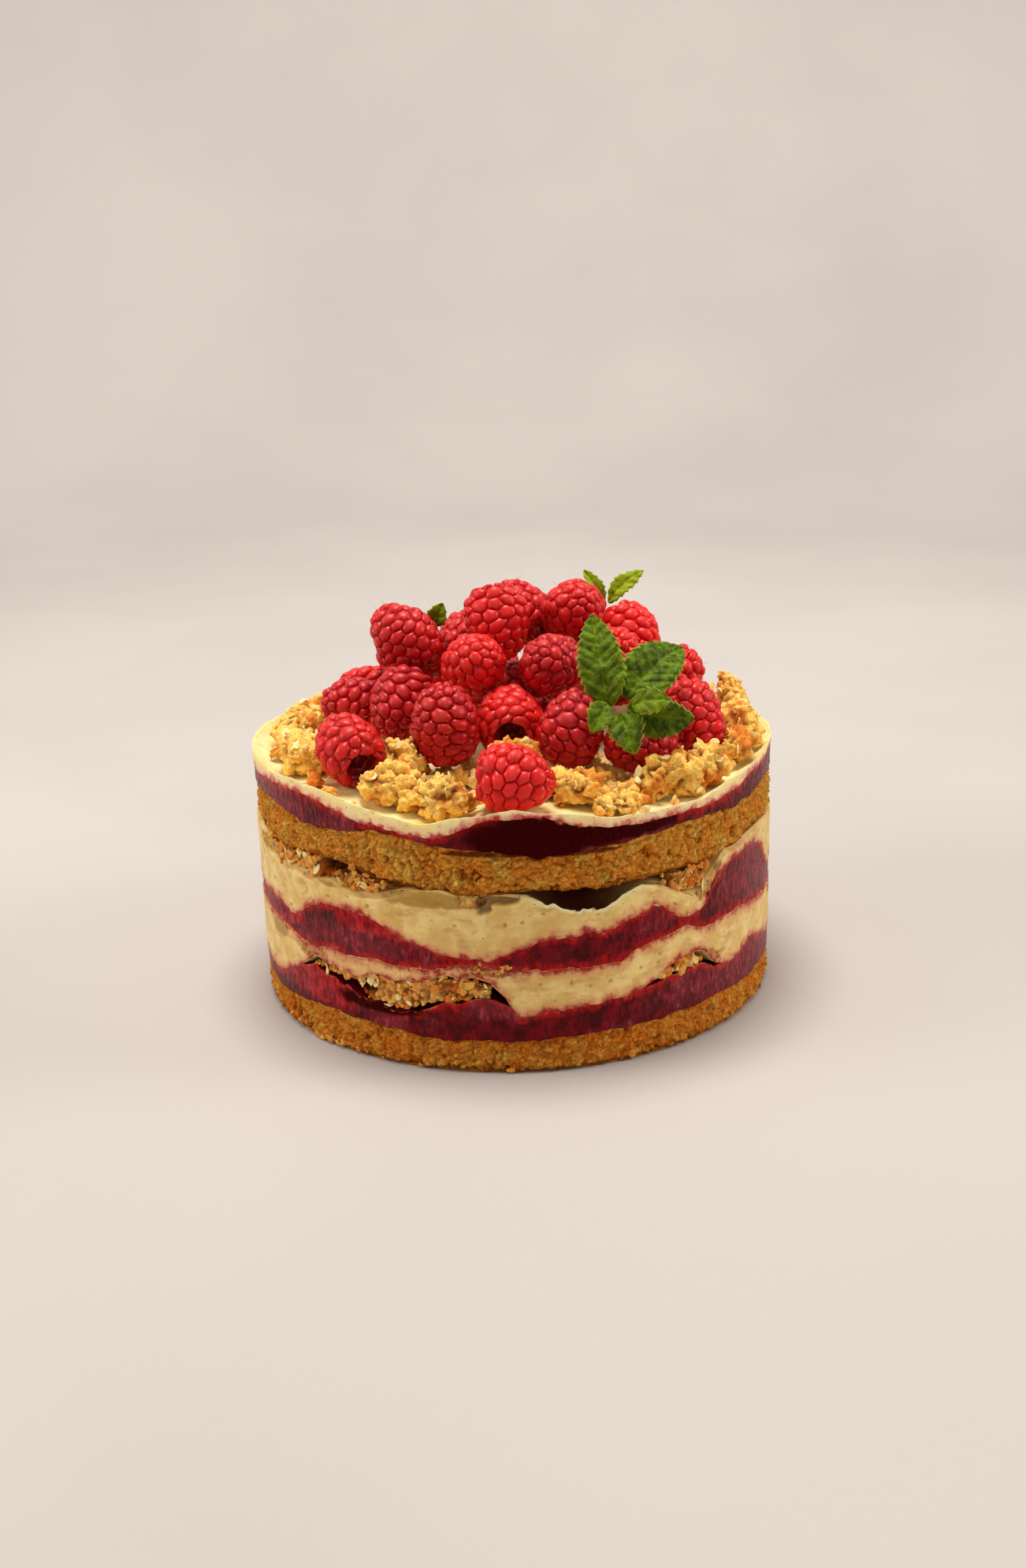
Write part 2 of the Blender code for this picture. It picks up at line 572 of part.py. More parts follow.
def leaf(name, base, tip, width, arch, roll, balls):
    """A thin wavy leaf: pointed at the tip, folded along its rib, with both faces split alike."""
    start = Vector(base)
    end = Vector(tip)
    way = (end - start).normalized()
    side = way.cross(Vector(LEAF_FACING)).normalized()
    side.rotate(Matrix.Rotation(math.radians(roll), 3, way))
    face = side.cross(way)
    middle = []
    for step in range(LEAF_LENGTHS + 1):
        share = step / LEAF_LENGTHS
        half = width / 2 * max(LEAF_POINT, math.sin(math.pi * share ** LEAF_FULLNESS) ** LEAF_FULLNESS)
        rib = start.lerp(end, share) + face * arch * math.sin(math.pi * share)
        for column in range(LEAF_WIDTHS + 1):
            across = 2 * column / LEAF_WIDTHS - 1
            wave = LEAF_WAVE * math.sin(5 * share + 2 * across)
            place = rib + side * across * half + face * abs(across) * (half * LEAF_FOLD + wave)
            middle.append(pushed_out(place, balls, LEAF_CLEARANCE))
    columns = LEAF_WIDTHS + 1
    points = [(point + face * LEAF_THICKNESS / 2) * MM for point in middle]
    points += [(point - face * LEAF_THICKNESS / 2) * MM for point in middle]
    back = len(middle)
    faces = []
    for step in range(LEAF_LENGTHS):
        for column in range(LEAF_WIDTHS):
            corner = step * columns + column
            near = (corner, corner + 1, corner + columns)
            far = (corner + 1, corner + columns + 1, corner + columns)
            for triangle in (near, far):
                faces.append(triangle)
                faces.append(tuple(back + index for index in reversed(triangle)))
        for edge in (0, LEAF_WIDTHS):
            low = step * columns + edge
            faces.append((low, low + columns, back + low + columns, back + low))
    for row in (0, LEAF_LENGTHS):
        for column in range(LEAF_WIDTHS):
            low = row * columns + column
            faces.append((low, low + 1, back + low + 1, back + low))
    return add_object(name, mesh_from(name, points, faces), "mint", smooth=True)


def main():
    clear_scene()
    make_layers()
    for name, (level, start, end) in POCKET_SPANS.items():
        pocket(name, level, start, end)
    places = settle()
    for name, centre in places.items():
        berry(name, centre)
    balls = berry_balls(places)
    for number, (name, rows) in enumerate(CRUMBLE.items()):
        crumble(name, rows, balls, 100 * number)
    for name, values in LEAVES.items():
        leaf(name, *values, balls)


main()
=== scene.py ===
import itertools
import math

import bmesh
import bpy
import numpy as np
from mathutils import Matrix, Vector


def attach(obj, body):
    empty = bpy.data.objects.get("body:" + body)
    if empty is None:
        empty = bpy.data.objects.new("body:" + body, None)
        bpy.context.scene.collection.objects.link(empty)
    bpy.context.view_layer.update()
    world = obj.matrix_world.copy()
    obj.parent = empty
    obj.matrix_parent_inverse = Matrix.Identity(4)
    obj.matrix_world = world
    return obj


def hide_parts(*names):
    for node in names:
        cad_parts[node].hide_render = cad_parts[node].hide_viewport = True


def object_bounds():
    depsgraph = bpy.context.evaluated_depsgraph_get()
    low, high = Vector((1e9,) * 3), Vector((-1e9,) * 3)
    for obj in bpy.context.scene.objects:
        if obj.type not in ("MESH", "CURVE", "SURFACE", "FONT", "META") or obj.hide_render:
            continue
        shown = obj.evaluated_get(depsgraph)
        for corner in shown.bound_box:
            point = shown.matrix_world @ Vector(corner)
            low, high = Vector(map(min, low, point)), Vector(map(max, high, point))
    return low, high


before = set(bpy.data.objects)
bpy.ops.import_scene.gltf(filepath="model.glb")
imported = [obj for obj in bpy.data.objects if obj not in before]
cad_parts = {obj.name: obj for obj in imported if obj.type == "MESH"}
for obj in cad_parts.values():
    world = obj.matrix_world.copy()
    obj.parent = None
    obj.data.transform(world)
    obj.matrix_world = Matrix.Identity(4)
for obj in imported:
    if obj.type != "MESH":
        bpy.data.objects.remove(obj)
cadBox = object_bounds()
mm = 0.001
fullTurn = 2 * math.pi
print("frame loaded:", len(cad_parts), "solids")


# These numbers look random but come out the same each time. Points are in millimetres throughout.
def scatter(cell, seed):
    n = cell[..., 0] * 73856093 ^ cell[..., 1] * 19349663 ^ cell[..., 2] * 83492791 ^ (seed * 29712151)
    n = (n ^ (n >> 13)) & 0x7FFFFFFF
    n = (n * 1274126177) & 0x7FFFFFFF
    n = ((n ^ (n >> 15)) * 60493) & 0x7FFFFFFF
    return ((n ^ (n >> 12)) & 0xFFFFFF) / 0xFFFFFF


def waves(points, size, seed=0):  # smooth hills and dips, -1 to 1
    spot = points / size
    cell = np.floor(spot).astype(np.int64)
    part = spot - cell
    part = part * part * (3 - 2 * part)
    total = 0
    for corner in itertools.product((0, 1), repeat=3):
        weight = np.prod([part[:, k] if corner[k] else 1 - part[:, k] for k in range(3)], axis=0)
        total = total + weight * scatter(cell + np.array(corner), seed)
    return total * 2 - 1


def rough(points, size, seed=0, octaves=3, fade=0.55):
    total, weight, whole = 0, 1, 0
    for octave in range(octaves):
        total = total + weight * waves(points, size / 2 ** octave, seed + 17 * octave)
        whole += weight
        weight *= fade
    return total / whole


def grains(points, size, seed=0):  # distances to the two nearest middles in grain sizes, and the nearest one's number
    spot = points / size
    cell = np.floor(spot).astype(np.int64)
    nearest, second = np.full(len(points), 9.0), np.full(len(points), 9.0)
    own = np.zeros(len(points))
    for offset in itertools.product((-1, 0, 1), repeat=3):
        there = cell + np.array(offset)
        middle = there + np.stack([scatter(there, seed + k) for k in range(3)], axis=-1)
        apart = np.linalg.norm(spot - middle, axis=-1)
        closer = apart < nearest
        own = np.where(closer, scatter(there, seed + 3), own)
        second = np.where(closer, nearest, np.minimum(second, apart))
        nearest = np.where(closer, apart, nearest)
    return nearest, second, own


def chunks(points, size, seed=0, groove=0.3):  # broken lumps: 1 on a lump, 0 in the grooves, and each lump's number
    bent = points + 0.35 * size * np.stack([waves(points, size * 0.7, seed + k) for k in range(3)], axis=1)
    nearest, second, own = grains(bent, size, seed)
    return ramp(second - nearest, 0.0, groove), own


def ramp(value, low, high):  # 0 at low, 1 at high, smooth between
    share = np.clip((value - low) / (high - low), 0, 1)
    return share * share * (3 - 2 * share)


def patch(angle, height, spot):  # soft blot on the side: angle, height, half width in degrees, half height
    middle, level, wide, tall = spot
    off = (angle - middle + 180) % 360 - 180
    return np.exp(-((off / wide) ** 2 + ((height - level) / tall) ** 2) ** 1.5)


def unit(vector):
    return vector / np.linalg.norm(vector)


def headingOf(points):  # degrees round the cake: 0 at the front, 90 at the right
    return np.degrees(np.arctan2(points[:, 0], -points[:, 1]))


def fromAxis(points):
    return np.hypot(points[:, 0], points[:, 1])


def keepWithin(points, limit):  # draws what stands past a radius back to it
    points[:, :2] /= np.maximum(1, fromAxis(points) / limit)[:, None]


def pieceName(node):  # berry_low_01 becomes berryLow01
    first, *rest = node.split("_")
    return first + "".join(word.capitalize() for word in rest)


def tint(red, green, blue):  # a colour as a screen shows it, 0 to 255
    def linear(value):
        value /= 255
        return value / 12.92 if value <= 0.04045 else ((value + 0.055) / 1.055) ** 2.4
    return (linear(red), linear(green), linear(blue), 1.0)


def put(tree, socket, value):
    if isinstance(value, bpy.types.NodeSocket):
        tree.links.new(value, socket)
    else:
        socket.default_value = value


def add(tree, kind, settings=(), **values):
    made = tree.nodes.new("ShaderNode" + kind)
    for name, value in dict(settings).items():
        setattr(made, name, value)
    for name, value in values.items():
        put(tree, made.inputs[name.replace("_", " ")], value)
    return made


def blended(tree, share, first, second):
    made = add(tree, "Mix", {"data_type": "RGBA"})
    for index, value in ((0, share), (6, first), (7, second)):
        put(tree, made.inputs[index], value)
    return made.outputs[2]


def maths(tree, way, first, second):
    made = add(tree, "Math", {"operation": way})
    put(tree, made.inputs[0], first)
    put(tree, made.inputs[1], second)
    return made.outputs[0]


def times(tree, first, second):
    return maths(tree, "MULTIPLY", first, second)


def plus(tree, first, second):
    return maths(tree, "ADD", first, second)


def between(tree, value, low, high, start=0.0, end=1.0):
    made = add(tree, "MapRange", {"interpolation_type": "SMOOTHSTEP"})
    for index, number in enumerate((value, low, high, start, end)):
        put(tree, made.inputs[index], number)
    return made.outputs[0]


def noise(tree, where, scale, detail=3.0, harsh=0.55):
    return add(tree, "TexNoise", Vector=where, Scale=scale, Detail=detail, Roughness=harsh).outputs[0]


def stretched(tree, where, turn, size):  # where, turned and scaled, for streaks
    return add(tree, "Mapping", Vector=where, Rotation=turn, Scale=size).outputs[0]


def painted(tree, name):  # a value that the mesh carries at its points
    return add(tree, "Attribute", {"attribute_name": name}).outputs["Fac"]


def newGroup(name, inputs, outputs):
    tree = bpy.data.node_groups.new(name, "ShaderNodeTree")
    for socket, kind, value in inputs:
        made = tree.interface.new_socket(socket, in_out="INPUT", socket_type="NodeSocket" + kind)
        if value is not None:
            made.default_value = value
    for socket in outputs:
        tree.interface.new_socket(socket, in_out="OUTPUT", socket_type="NodeSocketFloat")
    return tree, tree.nodes.new("NodeGroupInput").outputs, tree.nodes.new("NodeGroupOutput").inputs


def placed(tree, group, **values):
    made = tree.nodes.new("ShaderNodeGroup")
    made.node_tree = group
    for name, value in values.items():
        put(tree, made.inputs[name], value)
    return made.outputs


def feed(tree, shader, **values):
    for name, value in values.items():
        put(tree, shader[name.replace("_", " ")], value)


def newFinish(name, **plain):
    made = bpy.data.materials.new(name)
    made.use_nodes = True
    tree = made.node_tree
    shader = tree.nodes["Principled BSDF"].inputs
    feed(tree, shader, **plain)
    return made, tree, shader, add(tree, "TexCoord").outputs["Object"]


def relief(tree, height, depth, strength=1.0):  # depth in millimetres
    return add(tree, "Bump", Height=height, Distance=depth * mm, Strength=strength).outputs[0]


def makeCrumbGrain():  # crumb of baked dough: small lumps, the gaps between them and their height; the gaps are painted shade and the tone carries painted highlight on the raised grains
    tree, given, out = newGroup("crumbGrain", [("Vector", "Vector", None), ("Scale", "Float", 500.0),
                                               ("Bend", "Float", 0.002)], ("Tone", "Hollow", "Height"))
    swirl = add(tree, "TexNoise", Vector=given["Vector"], Scale=given["Scale"], Detail=2.0).outputs["Color"]
    shift = add(tree, "VectorMath", {"operation": "SCALE"}, Scale=given["Bend"])
    tree.links.new(swirl, shift.inputs[0])
    bent = add(tree, "VectorMath", {"operation": "ADD"})
    tree.links.new(given["Vector"], bent.inputs[0])
    tree.links.new(shift.outputs[0], bent.inputs[1])
    cells = add(tree, "TexVoronoi", {"feature": "F1"}, Vector=bent.outputs[0], Scale=given["Scale"])
    fine = noise(tree, given["Vector"], times(tree, given["Scale"], 1.7), 3.0, 0.7)
    wide = noise(tree, given["Vector"], times(tree, given["Scale"], 0.3), 2.0, 0.6)
    uneven = plus(tree, times(tree, wide, 1.6), times(tree, fine, -0.7))
    uneven = maths(tree, "SUBTRACT", uneven, 0.45)
    gap = plus(tree, times(tree, cells.outputs["Distance"], 0.55), uneven)
    # the tone uses the fine noise that also raises the height: random tone with painted highlight on the raised
    # grains
    tree.links.new(between(tree, fine, 0.3, 0.7), out["Tone"])
    # the gaps lie where the height is low: painted shade
    tree.links.new(between(tree, gap, 0.25, 0.75), out["Hollow"])
    lump = times(tree, cells.outputs["Distance"], -0.8)
    height = plus(tree, times(tree, fine, 0.9), times(tree, wide, -1.6))
    tree.links.new(plus(tree, lump, height), out["Height"])
    return tree


def makeMottle():  # soft uneven patches
    tree, given, out = newGroup("mottle", [("Vector", "Vector", None), ("Scale", "Float", 100.0),
                                           ("Low", "Float", 0.35), ("High", "Float", 0.65)], ("Patches",))
    soft = noise(tree, given["Vector"], given["Scale"], 3.0, 0.6)
    tree.links.new(between(tree, soft, given["Low"], given["High"]), out["Patches"])
    return tree


def makeFeather():  # a distance from an edge, in mm, made uneven so that the edge comes out torn and smeared
    tree, given, out = newGroup("feather", [("Vector", "Vector", None), ("Near", "Float", 0.0),
                                            ("Spread", "Float", 2.0)], ("Near",))
    wide = noise(tree, given["Vector"], 300.0, 2.0, 0.6)
    fine = noise(tree, given["Vector"], 1000.0, 3.0, 0.6)
    shift = plus(tree, times(tree, wide, 1.5), times(tree, fine, 0.5))
    shift = times(tree, maths(tree, "SUBTRACT", shift, 1.0), given["Spread"])
    tree.links.new(plus(tree, given["Near"], shift), out["Near"])
    return tree


crumbGrain = makeCrumbGrain()
mottle = makeMottle()
feather = makeFeather()


def patches(tree, where, scale, **limits):
    return placed(tree, mottle, Vector=where, Scale=scale, **limits)["Patches"]


def tornNear(tree, where, spread):  # the distance from an edge that the mesh carries, made uneven
    return placed(tree, feather, Vector=where, Near=painted(tree, "near"), Spread=spread)["Near"]


def coats(tree, look, base, *masks):  # colours over each other, each with its mask; a bare name is both
    colour = tint(*look[base])
    for item in masks:
        mask, top = (painted(tree, item), item) if isinstance(item, str) else item
        colour = blended(tree, mask, colour, tint(*look[top]) if isinstance(top, str) else top)
    return colour


def spongeFinish(name, look):
    made, tree, shader, where = newFinish(name, Roughness=0.85, Specular_IOR_Level=0.04)
    grain = placed(tree, crumbGrain, Vector=where, Scale=look["grain"], Bend=0.0012)
    # lighter crumb: random tone, with painted highlight where the crumb stands out
    light = plus(tree, times(tree, grain["Tone"], 0.45), times(tree, painted(tree, "tone"), 0.75))
    soaked = maths(tree, "MAXIMUM", painted(tree, "stain"),
                   between(tree, tornNear(tree, where, 1.3), 0.7, 0.0, 0.0, 0.85))
    # the gaps of the grain and the pores are darkened with painted shade
    colour = coats(tree, look, "mid", (light, "light"), (times(tree, patches(tree, where, 130.0), 0.45), "warm"),
                   (times(tree, grain["Hollow"], 0.45), "pore"), "pore", "crust", (soaked, "stain"))
    feed(tree, shader, Base_Color=colour, Normal=relief(tree, grain["Height"], 1.3))
    return made


def jamFinish(name, look):
    made, tree, shader, where = newFinish(name, Roughness=0.3, Subsurface_Weight=0.04, Subsurface_Scale=0.002,
                                          Subsurface_Radius=(1.0, 0.15, 0.15), Specular_IOR_Level=0.1)
    folds = noise(tree, stretched(tree, where, (0.15, 0.35, 0.2), (1.0, 1.0, 0.5)), 620.0, 3.0, 0.6)
    near = tornNear(tree, where, 3.4)
    # on the fold ridges the mauve smear is laid lighter and rougher: a painted sheen over the smear film
    smear = times(tree, between(tree, folds, 0.5, 0.68), painted(tree, "smear"))
    # the low parts of the folds, which the bump also uses, take the dark thick colour: painted shade in the troughs
    colour = coats(tree, look, "dark", (patches(tree, where, 170.0), "mid"), "fresh",
                   (between(tree, near, 3.2, 0.4, 0.0, 0.9), "edge"), "thick",
                   (between(tree, folds, 0.5, 0.36, 0.0, 0.6), "thick"),
                   (times(tree, painted(tree, "smear"), 0.25), "smear"), (smear, "smear"),
                   (between(tree, near, 0.5, -1.2, 0.0, 0.8), "cream"))
    duller = times(tree, painted(tree, "thick"), 0.08)
    feed(tree, shader, Base_Color=colour, Roughness=plus(tree, 0.27, times(tree, smear, 0.3)),
         Specular_IOR_Level=maths(tree, "SUBTRACT", 0.1, duller), Normal=relief(tree, folds, 1.6, 0.9))
    return made


def creamFinish(name, look):
    made, tree, shader, where = newFinish(name, Roughness=0.5, Subsurface_Weight=0.22, Subsurface_Scale=0.004,
                                          Subsurface_Radius=(1.0, 0.6, 0.3), Specular_IOR_Level=0.35)
    dull = patches(tree, stretched(tree, where, (0.0, 0.2, 0.0), (0.6, 0.6, 1.4)), 210.0, Low=0.5, High=0.72)
    near = tornNear(tree, where, 4.2)
    pods = add(tree, "TexVoronoi", {"feature": "F1"}, Vector=where, Scale=330.0).outputs
    speck = times(tree, between(tree, pods["Distance"], 0.095, 0.05), between(tree, pods["Color"], 0.44, 0.5))
    crumb = placed(tree, crumbGrain, Vector=where, Scale=620.0, Bend=0.0012)
    # embedded crumb: its gaps are darkened with painted shade
    crumbTint = coats(tree, look, "crumb", (crumb["Tone"], "crumbTop"), (crumb["Hollow"], "crumbGapShade"))
    colour = coats(tree, look, "shade", (patches(tree, where, 120.0), "light"),
                   (times(tree, dull, look["dull"]), "pit"), "curd", (painted(tree, "shade"), "pit"),
                   (painted(tree, "crumb"), crumbTint), "lip", (between(tree, near, 4.2, 0.8, 0.0, 0.6), "blush"),
                   (between(tree, near, 2.0, -0.6, 0.0, 1.0), "bleed"), (times(tree, speck, 0.85), "speck"), "hole")
    fine = noise(tree, stretched(tree, where, (0, 0, 0), (0.6, 0.6, 1.5)), 380.0, 4.0, 0.6)
    lumps = times(tree, times(tree, crumb["Height"], 2.0), painted(tree, "crumb"))
    feed(tree, shader, Base_Color=colour, Normal=relief(tree, plus(tree, fine, lumps), 0.8, 0.7))
    return made


def berryFinish(name, look):
    made, tree, shader, where = newFinish(name, Roughness=0.38, Subsurface_Weight=0.3, Subsurface_Scale=0.003,
                                          Subsurface_Radius=(1.0, 0.12, 0.1), Specular_IOR_Level=0.3)
    soft = patches(tree, where, 260.0)
    # bloom with painted highlight: lighter on the drupelet tops that face up
    bloom = times(tree, painted(tree, "bloom"), between(tree, soft, 0.0, 1.0, 0.35, 0.75))
    # the creases between the drupelets are darkened with painted shade
    colour = coats(tree, look, "bright", (painted(tree, "ripe"), "deep"),
                   (times(tree, painted(tree, "tone"), 0.35), "bright"), (times(tree, soft, 0.22), "deep"),
                   "crease", (bloom, "bloom"), "inside")
    feed(tree, shader, Base_Color=colour, Roughness=plus(tree, 0.3, times(tree, bloom, 0.35)),
         Normal=relief(tree, noise(tree, where, 900.0), 0.12, 0.5))
    return made


def crumbleFinish(name, look):
    made, tree, shader, where = newFinish(name, Roughness=0.75, Specular_IOR_Level=0.12, Subsurface_Weight=0.08,
                                          Subsurface_Scale=0.0015)
    grain = placed(tree, crumbGrain, Vector=where, Scale=look["grain"], Bend=0.0015)
    # the gaps of the grain take the toast colour as painted shade; the cavities and deep holes are painted shade too
    colour = coats(tree, look, "mid", (grain["Tone"], "light"), "toast", "cavity",
                   (times(tree, grain["Hollow"], 0.4), "toast"), "coat", "flake", "deep")
    feed(tree, shader, Base_Color=colour, Normal=relief(tree, grain["Height"], 0.5, 0.7))
    return made


def mintFinish(name, look):
    made, tree, shader, where = newFinish(name, Roughness=0.5, Subsurface_Weight=0.06, Subsurface_Scale=0.001,
                                          Specular_IOR_Level=0.14)
    colour = coats(tree, look, "deep", (patches(tree, where, 300.0), "light"), "young", "vein", "rim")
    net = add(tree, "TexVoronoi", {"feature": "DISTANCE_TO_EDGE"}, Vector=where, Scale=900.0)
    feed(tree, shader, Base_Color=colour, Normal=relief(tree, net.outputs["Distance"], 0.35, 0.7))
    return made


def plainFinish(name, look):  # two soft tones
    made, tree, shader, where = newFinish(name, Roughness=look["roughness"], Specular_IOR_Level=look["gloss"])
    feed(tree, shader, Base_Color=coats(tree, look, "low", (patches(tree, where, look["scale"]), "high")))
    return made


finishes = {
    "base": spongeFinish("baseSpongeCrumb", {
        "grain": 780.0, "light": (255, 206, 92), "mid": (255, 136, 22), "warm": (255, 116, 8),
        "pore": (132, 42, 0), "crust": (96, 36, 4), "stain": (84, 4, 10)}),
    "sponge": spongeFinish("spongeCrumb", {
        "grain": 780.0, "light": (255, 222, 106), "mid": (255, 150, 28), "warm": (255, 126, 8),
        "pore": (138, 46, 0), "crust": (170, 84, 8), "stain": (88, 2, 8)}),
    "jam": jamFinish("berryJam", {
        "dark": (76, 0, 8), "mid": (124, 4, 20), "fresh": (196, 28, 34), "edge": (188, 20, 18),
        "thick": (58, 0, 2), "smear": (166, 66, 78), "cream": (220, 136, 100)}),
    "cream": creamFinish("vanillaCream", {
        "shade": (226, 186, 104), "light": (244, 216, 140), "curd": (164, 120, 18), "blush": (222, 132, 98),
        "bleed": (162, 12, 24), "speck": (60, 34, 14), "pit": (200, 152, 84), "hole": (78, 24, 12), "dull": 0.7,
        "crumb": (200, 130, 46), "crumbTop": (248, 200, 108), "crumbGapShade": (104, 52, 14), "lip": (255, 238, 184)}),
    "topCream": creamFinish("topCream", {
        "shade": (253, 230, 146), "light": (255, 244, 184), "curd": (250, 212, 60), "blush": (248, 184, 158),
        "bleed": (190, 34, 40), "speck": (90, 60, 30), "pit": (242, 214, 128), "hole": (46, 12, 10), "dull": 0.4,
        "crumb": (200, 130, 46), "crumbTop": (248, 200, 108), "crumbGapShade": (104, 52, 14), "lip": (255, 240, 190)}),
    "berry": berryFinish("redBerry", {
        "bright": (236, 28, 22), "deep": (158, 2, 18), "crease": (124, 2, 12), "bloom": (236, 92, 86),
        "inside": (110, 6, 16)}),
    "crumble": crumbleFinish("oatCrumble", {
        "grain": 760.0, "light": (255, 230, 132), "mid": (252, 176, 58), "toast": (216, 112, 18),
        "cavity": (124, 46, 4), "coat": (214, 170, 98), "flake": (255, 238, 172), "deep": (56, 24, 8)}),
    "mint": mintFinish("mintLeaf", {
        "deep": (36, 58, 1), "light": (90, 120, 6), "young": (152, 174, 18), "vein": (136, 156, 34),
        "rim": (190, 194, 64)}),
    "hair": plainFinish("berryHair", {
        "low": (150, 70, 50), "high": (206, 150, 110), "scale": 400.0, "roughness": 0.5, "gloss": 0.5}),
}
print("finishes made")


def newPiece(name, points, faces, finish, nodes, values=None, fineFaces=None):
    points = np.clip(points, np.array(cadBox[0]) / mm, np.array(cadBox[1]) / mm)
    mesh = bpy.data.meshes.new(name)
    mesh.vertices.add(len(points))
    mesh.vertices.foreach_set("co", (np.asarray(points) * mm).astype(np.float32).ravel())
    corners = np.concatenate([np.asarray(part).ravel() for part in faces])
    counts = np.concatenate([np.full(len(part), np.asarray(part).shape[1]) for part in faces])
    mesh.loops.add(len(corners))
    mesh.loops.foreach_set("vertex_index", corners.astype(np.int32))
    mesh.polygons.add(len(counts))
    mesh.polygons.foreach_set("loop_start", (np.cumsum(counts) - counts).astype(np.int32))
    mesh.polygons.foreach_set("use_smooth", np.ones(len(counts), bool))
    for material in finish:
        mesh.materials.append(material)
    if fineFaces is not None:
        mesh.polygons.foreach_set("material_index", fineFaces.astype(np.int32))
    mesh.update(calc_edges=True)
    mesh.validate()
    for key, value in (values or {}).items():
        mesh.attributes.new(key, "FLOAT", "POINT").data.foreach_set(
            "value", np.broadcast_to(np.asarray(value, np.float32), len(points)).copy())
    made = bpy.data.objects.new(name, mesh)
    bpy.context.scene.collection.objects.link(made)
    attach(made, "root")
    if nodes:
        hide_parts(*nodes)
    return made


def cornersOf(node):  # the solid's corners in millimetres, each once
    found = np.array([corner.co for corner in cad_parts[node].data.vertices], float) / mm
    return found[np.unique(np.round(found, 3), axis=0, return_index=True)[1]]


layerLook = {
    "columns": 960,          # faces round the side
    "row": 0.6,              # height of a face, in mm
    "segments": 60,          # heights that a solid gives round each ring
    "overlap": 0.45,         # how far a layer reaches down into the one below
    "thinnest": 0.35,
    "limit": 89.97,          # nothing stands further out than this
    "inner": (88.4, 86, 82, 76, 72, 40),  # rings inside a layer
    "coarse": 8,             # columns of the side to one face of those rings
    "groove": 1.6,           # between the top sponge and the cream under it
    "cave": (2.5, 4.0),      # how far the open hollow widens behind its edges, up and down
}
layerList = [  # piece, node, finish, slot, side, rings under and over, unevenness of its upper edge
    ("baseSponge", "base_sponge", "base", "base_sponge", 89.5, None, None, 0.7),
    ("lowerJam", "lower_jam", "jam", "jam", 89.75, None, 72, 1.25),
    ("lowerCream", "lower_cream", "cream", "cream", 90.0, 72, None, 1.2),
    ("middleJam", "middle_jam", "jam", "jam", 89.75, None, None, 1.4),
    ("upperCream", "upper_cream", "cream", "cream", 90.0, None, 72, 0.8),
    ("topSponge", "top_sponge", "sponge", "sponge", 89.5, 72, None, 0.9),
    ("topJam", "top_jam", "jam", "jam", 89.75, None, 83, 0.65),
    ("topCream", "top_cream", "topCream", "cream", 90.0, 83, 83, 0.35),
]
spots = {  # on the side: angle, height, half width in degrees, half height in mm
    "curd": [(-18, 57.5, 11, 3), (-41, 58.5, 6, 2.2), (-62, 33, 5, 3)],
    "fresh": [(-33, 46.5, 8, 3.8), (-45, 20, 16, 6), (-56, 41, 5, 4), (-24, 45, 5, 2.5), (150, 22, 14, 6),
              (100, 46, 12, 4), (-110, 45, 10, 5)],
    "thick": [(4, 78, 16, 9), (-30, 20, 14, 3.5), (26, 79, 10, 5), (170, 80, 20, 6)],
    "smear": [(52, 18, 22, 7), (60, 50, 12, 10), (-70, 46, 9, 9), (-34, 40, 12, 5), (-64, 80, 14, 6),
              (-60, 20, 16, 5)],
    "stain": [(60, 77, 1.6, 1.2), (57, 78.3, 1.0, 0.8), (-4, 73, 12, 1.2), (14, 72, 9, 1.0), (100, 75, 6, 1.5)],
    "hollow": [(13, 58, 13, 8)],
    "notch": [(-6.5, 56.5, 2.0, 3.6), (-2, 58, 3, 1.6)],
    "crumb": [(-4.5, 35.5, 6, 2.6), (-48, 31, 5, 3.2), (43, 54, 6, 6), (42, 27, 6, 3),
              (-9, 57.5, 3, 2.5), (-66, 61, 7, 2.5), (-28, 60, 6, 2.0), (140, 58, 12, 4), (-120, 40, 8, 3),
              (80, 34, 7, 3), (-160, 56, 9, 3)],
}
topCurd = [(-62, 62, 15, 10), (-76, 30, 12, 13), (-30, -80, 12, 5), (-15, -84, 12, 4), (50, -74, 9, 4),
           (60, 60, 16, 9), (-12, 80, 14, 6)]  # yolk-yellow on top: x, y and half sizes


def around(samples, columns):  # smooth curve through evenly spaced samples of a closed ring
    spot = np.arange(columns) * len(samples) / columns
    index = np.floor(spot).astype(int)
    part = spot - index
    a, b, c, d = (samples[(index + k) % len(samples)] for k in (-1, 0, 1, 2))
    return b + 0.5 * part * (c - a + part * (2 * a - 5 * b + 4 * c - d + part * (3 * b - a - 3 * c + d)))


def ringHeights(corners, radius):
    columns, count = layerLook["columns"], layerLook["segments"]
    on = corners[abs(fromAxis(corners) - radius) < 0.6]
    index = np.round((headingOf(on) + 180) * count / 360).astype(int) % count
    low, high = np.full(count, 1e9), np.full(count, -1e9)
    np.minimum.at(low, index, on[:, 2])
    np.maximum.at(high, index, on[:, 2])
    known = np.nonzero(high > -1e8)[0]  # a height that the solid doesn't give lies between its neighbours'
    low, high = (np.interp(np.arange(count), known, part[known], period=count) for part in (low, high))
    return around(low, columns), around(high, columns)


columns = layerLook["columns"]
angles = np.arange(columns) * 360 / columns - 180
sines, cosines = np.sin(np.radians(angles)), -np.cos(np.radians(angles))


def ringPoints(radius, height):
    radius = np.broadcast_to(radius, columns)
    return np.stack([sines * radius, cosines * radius, np.broadcast_to(height, columns)], axis=1)


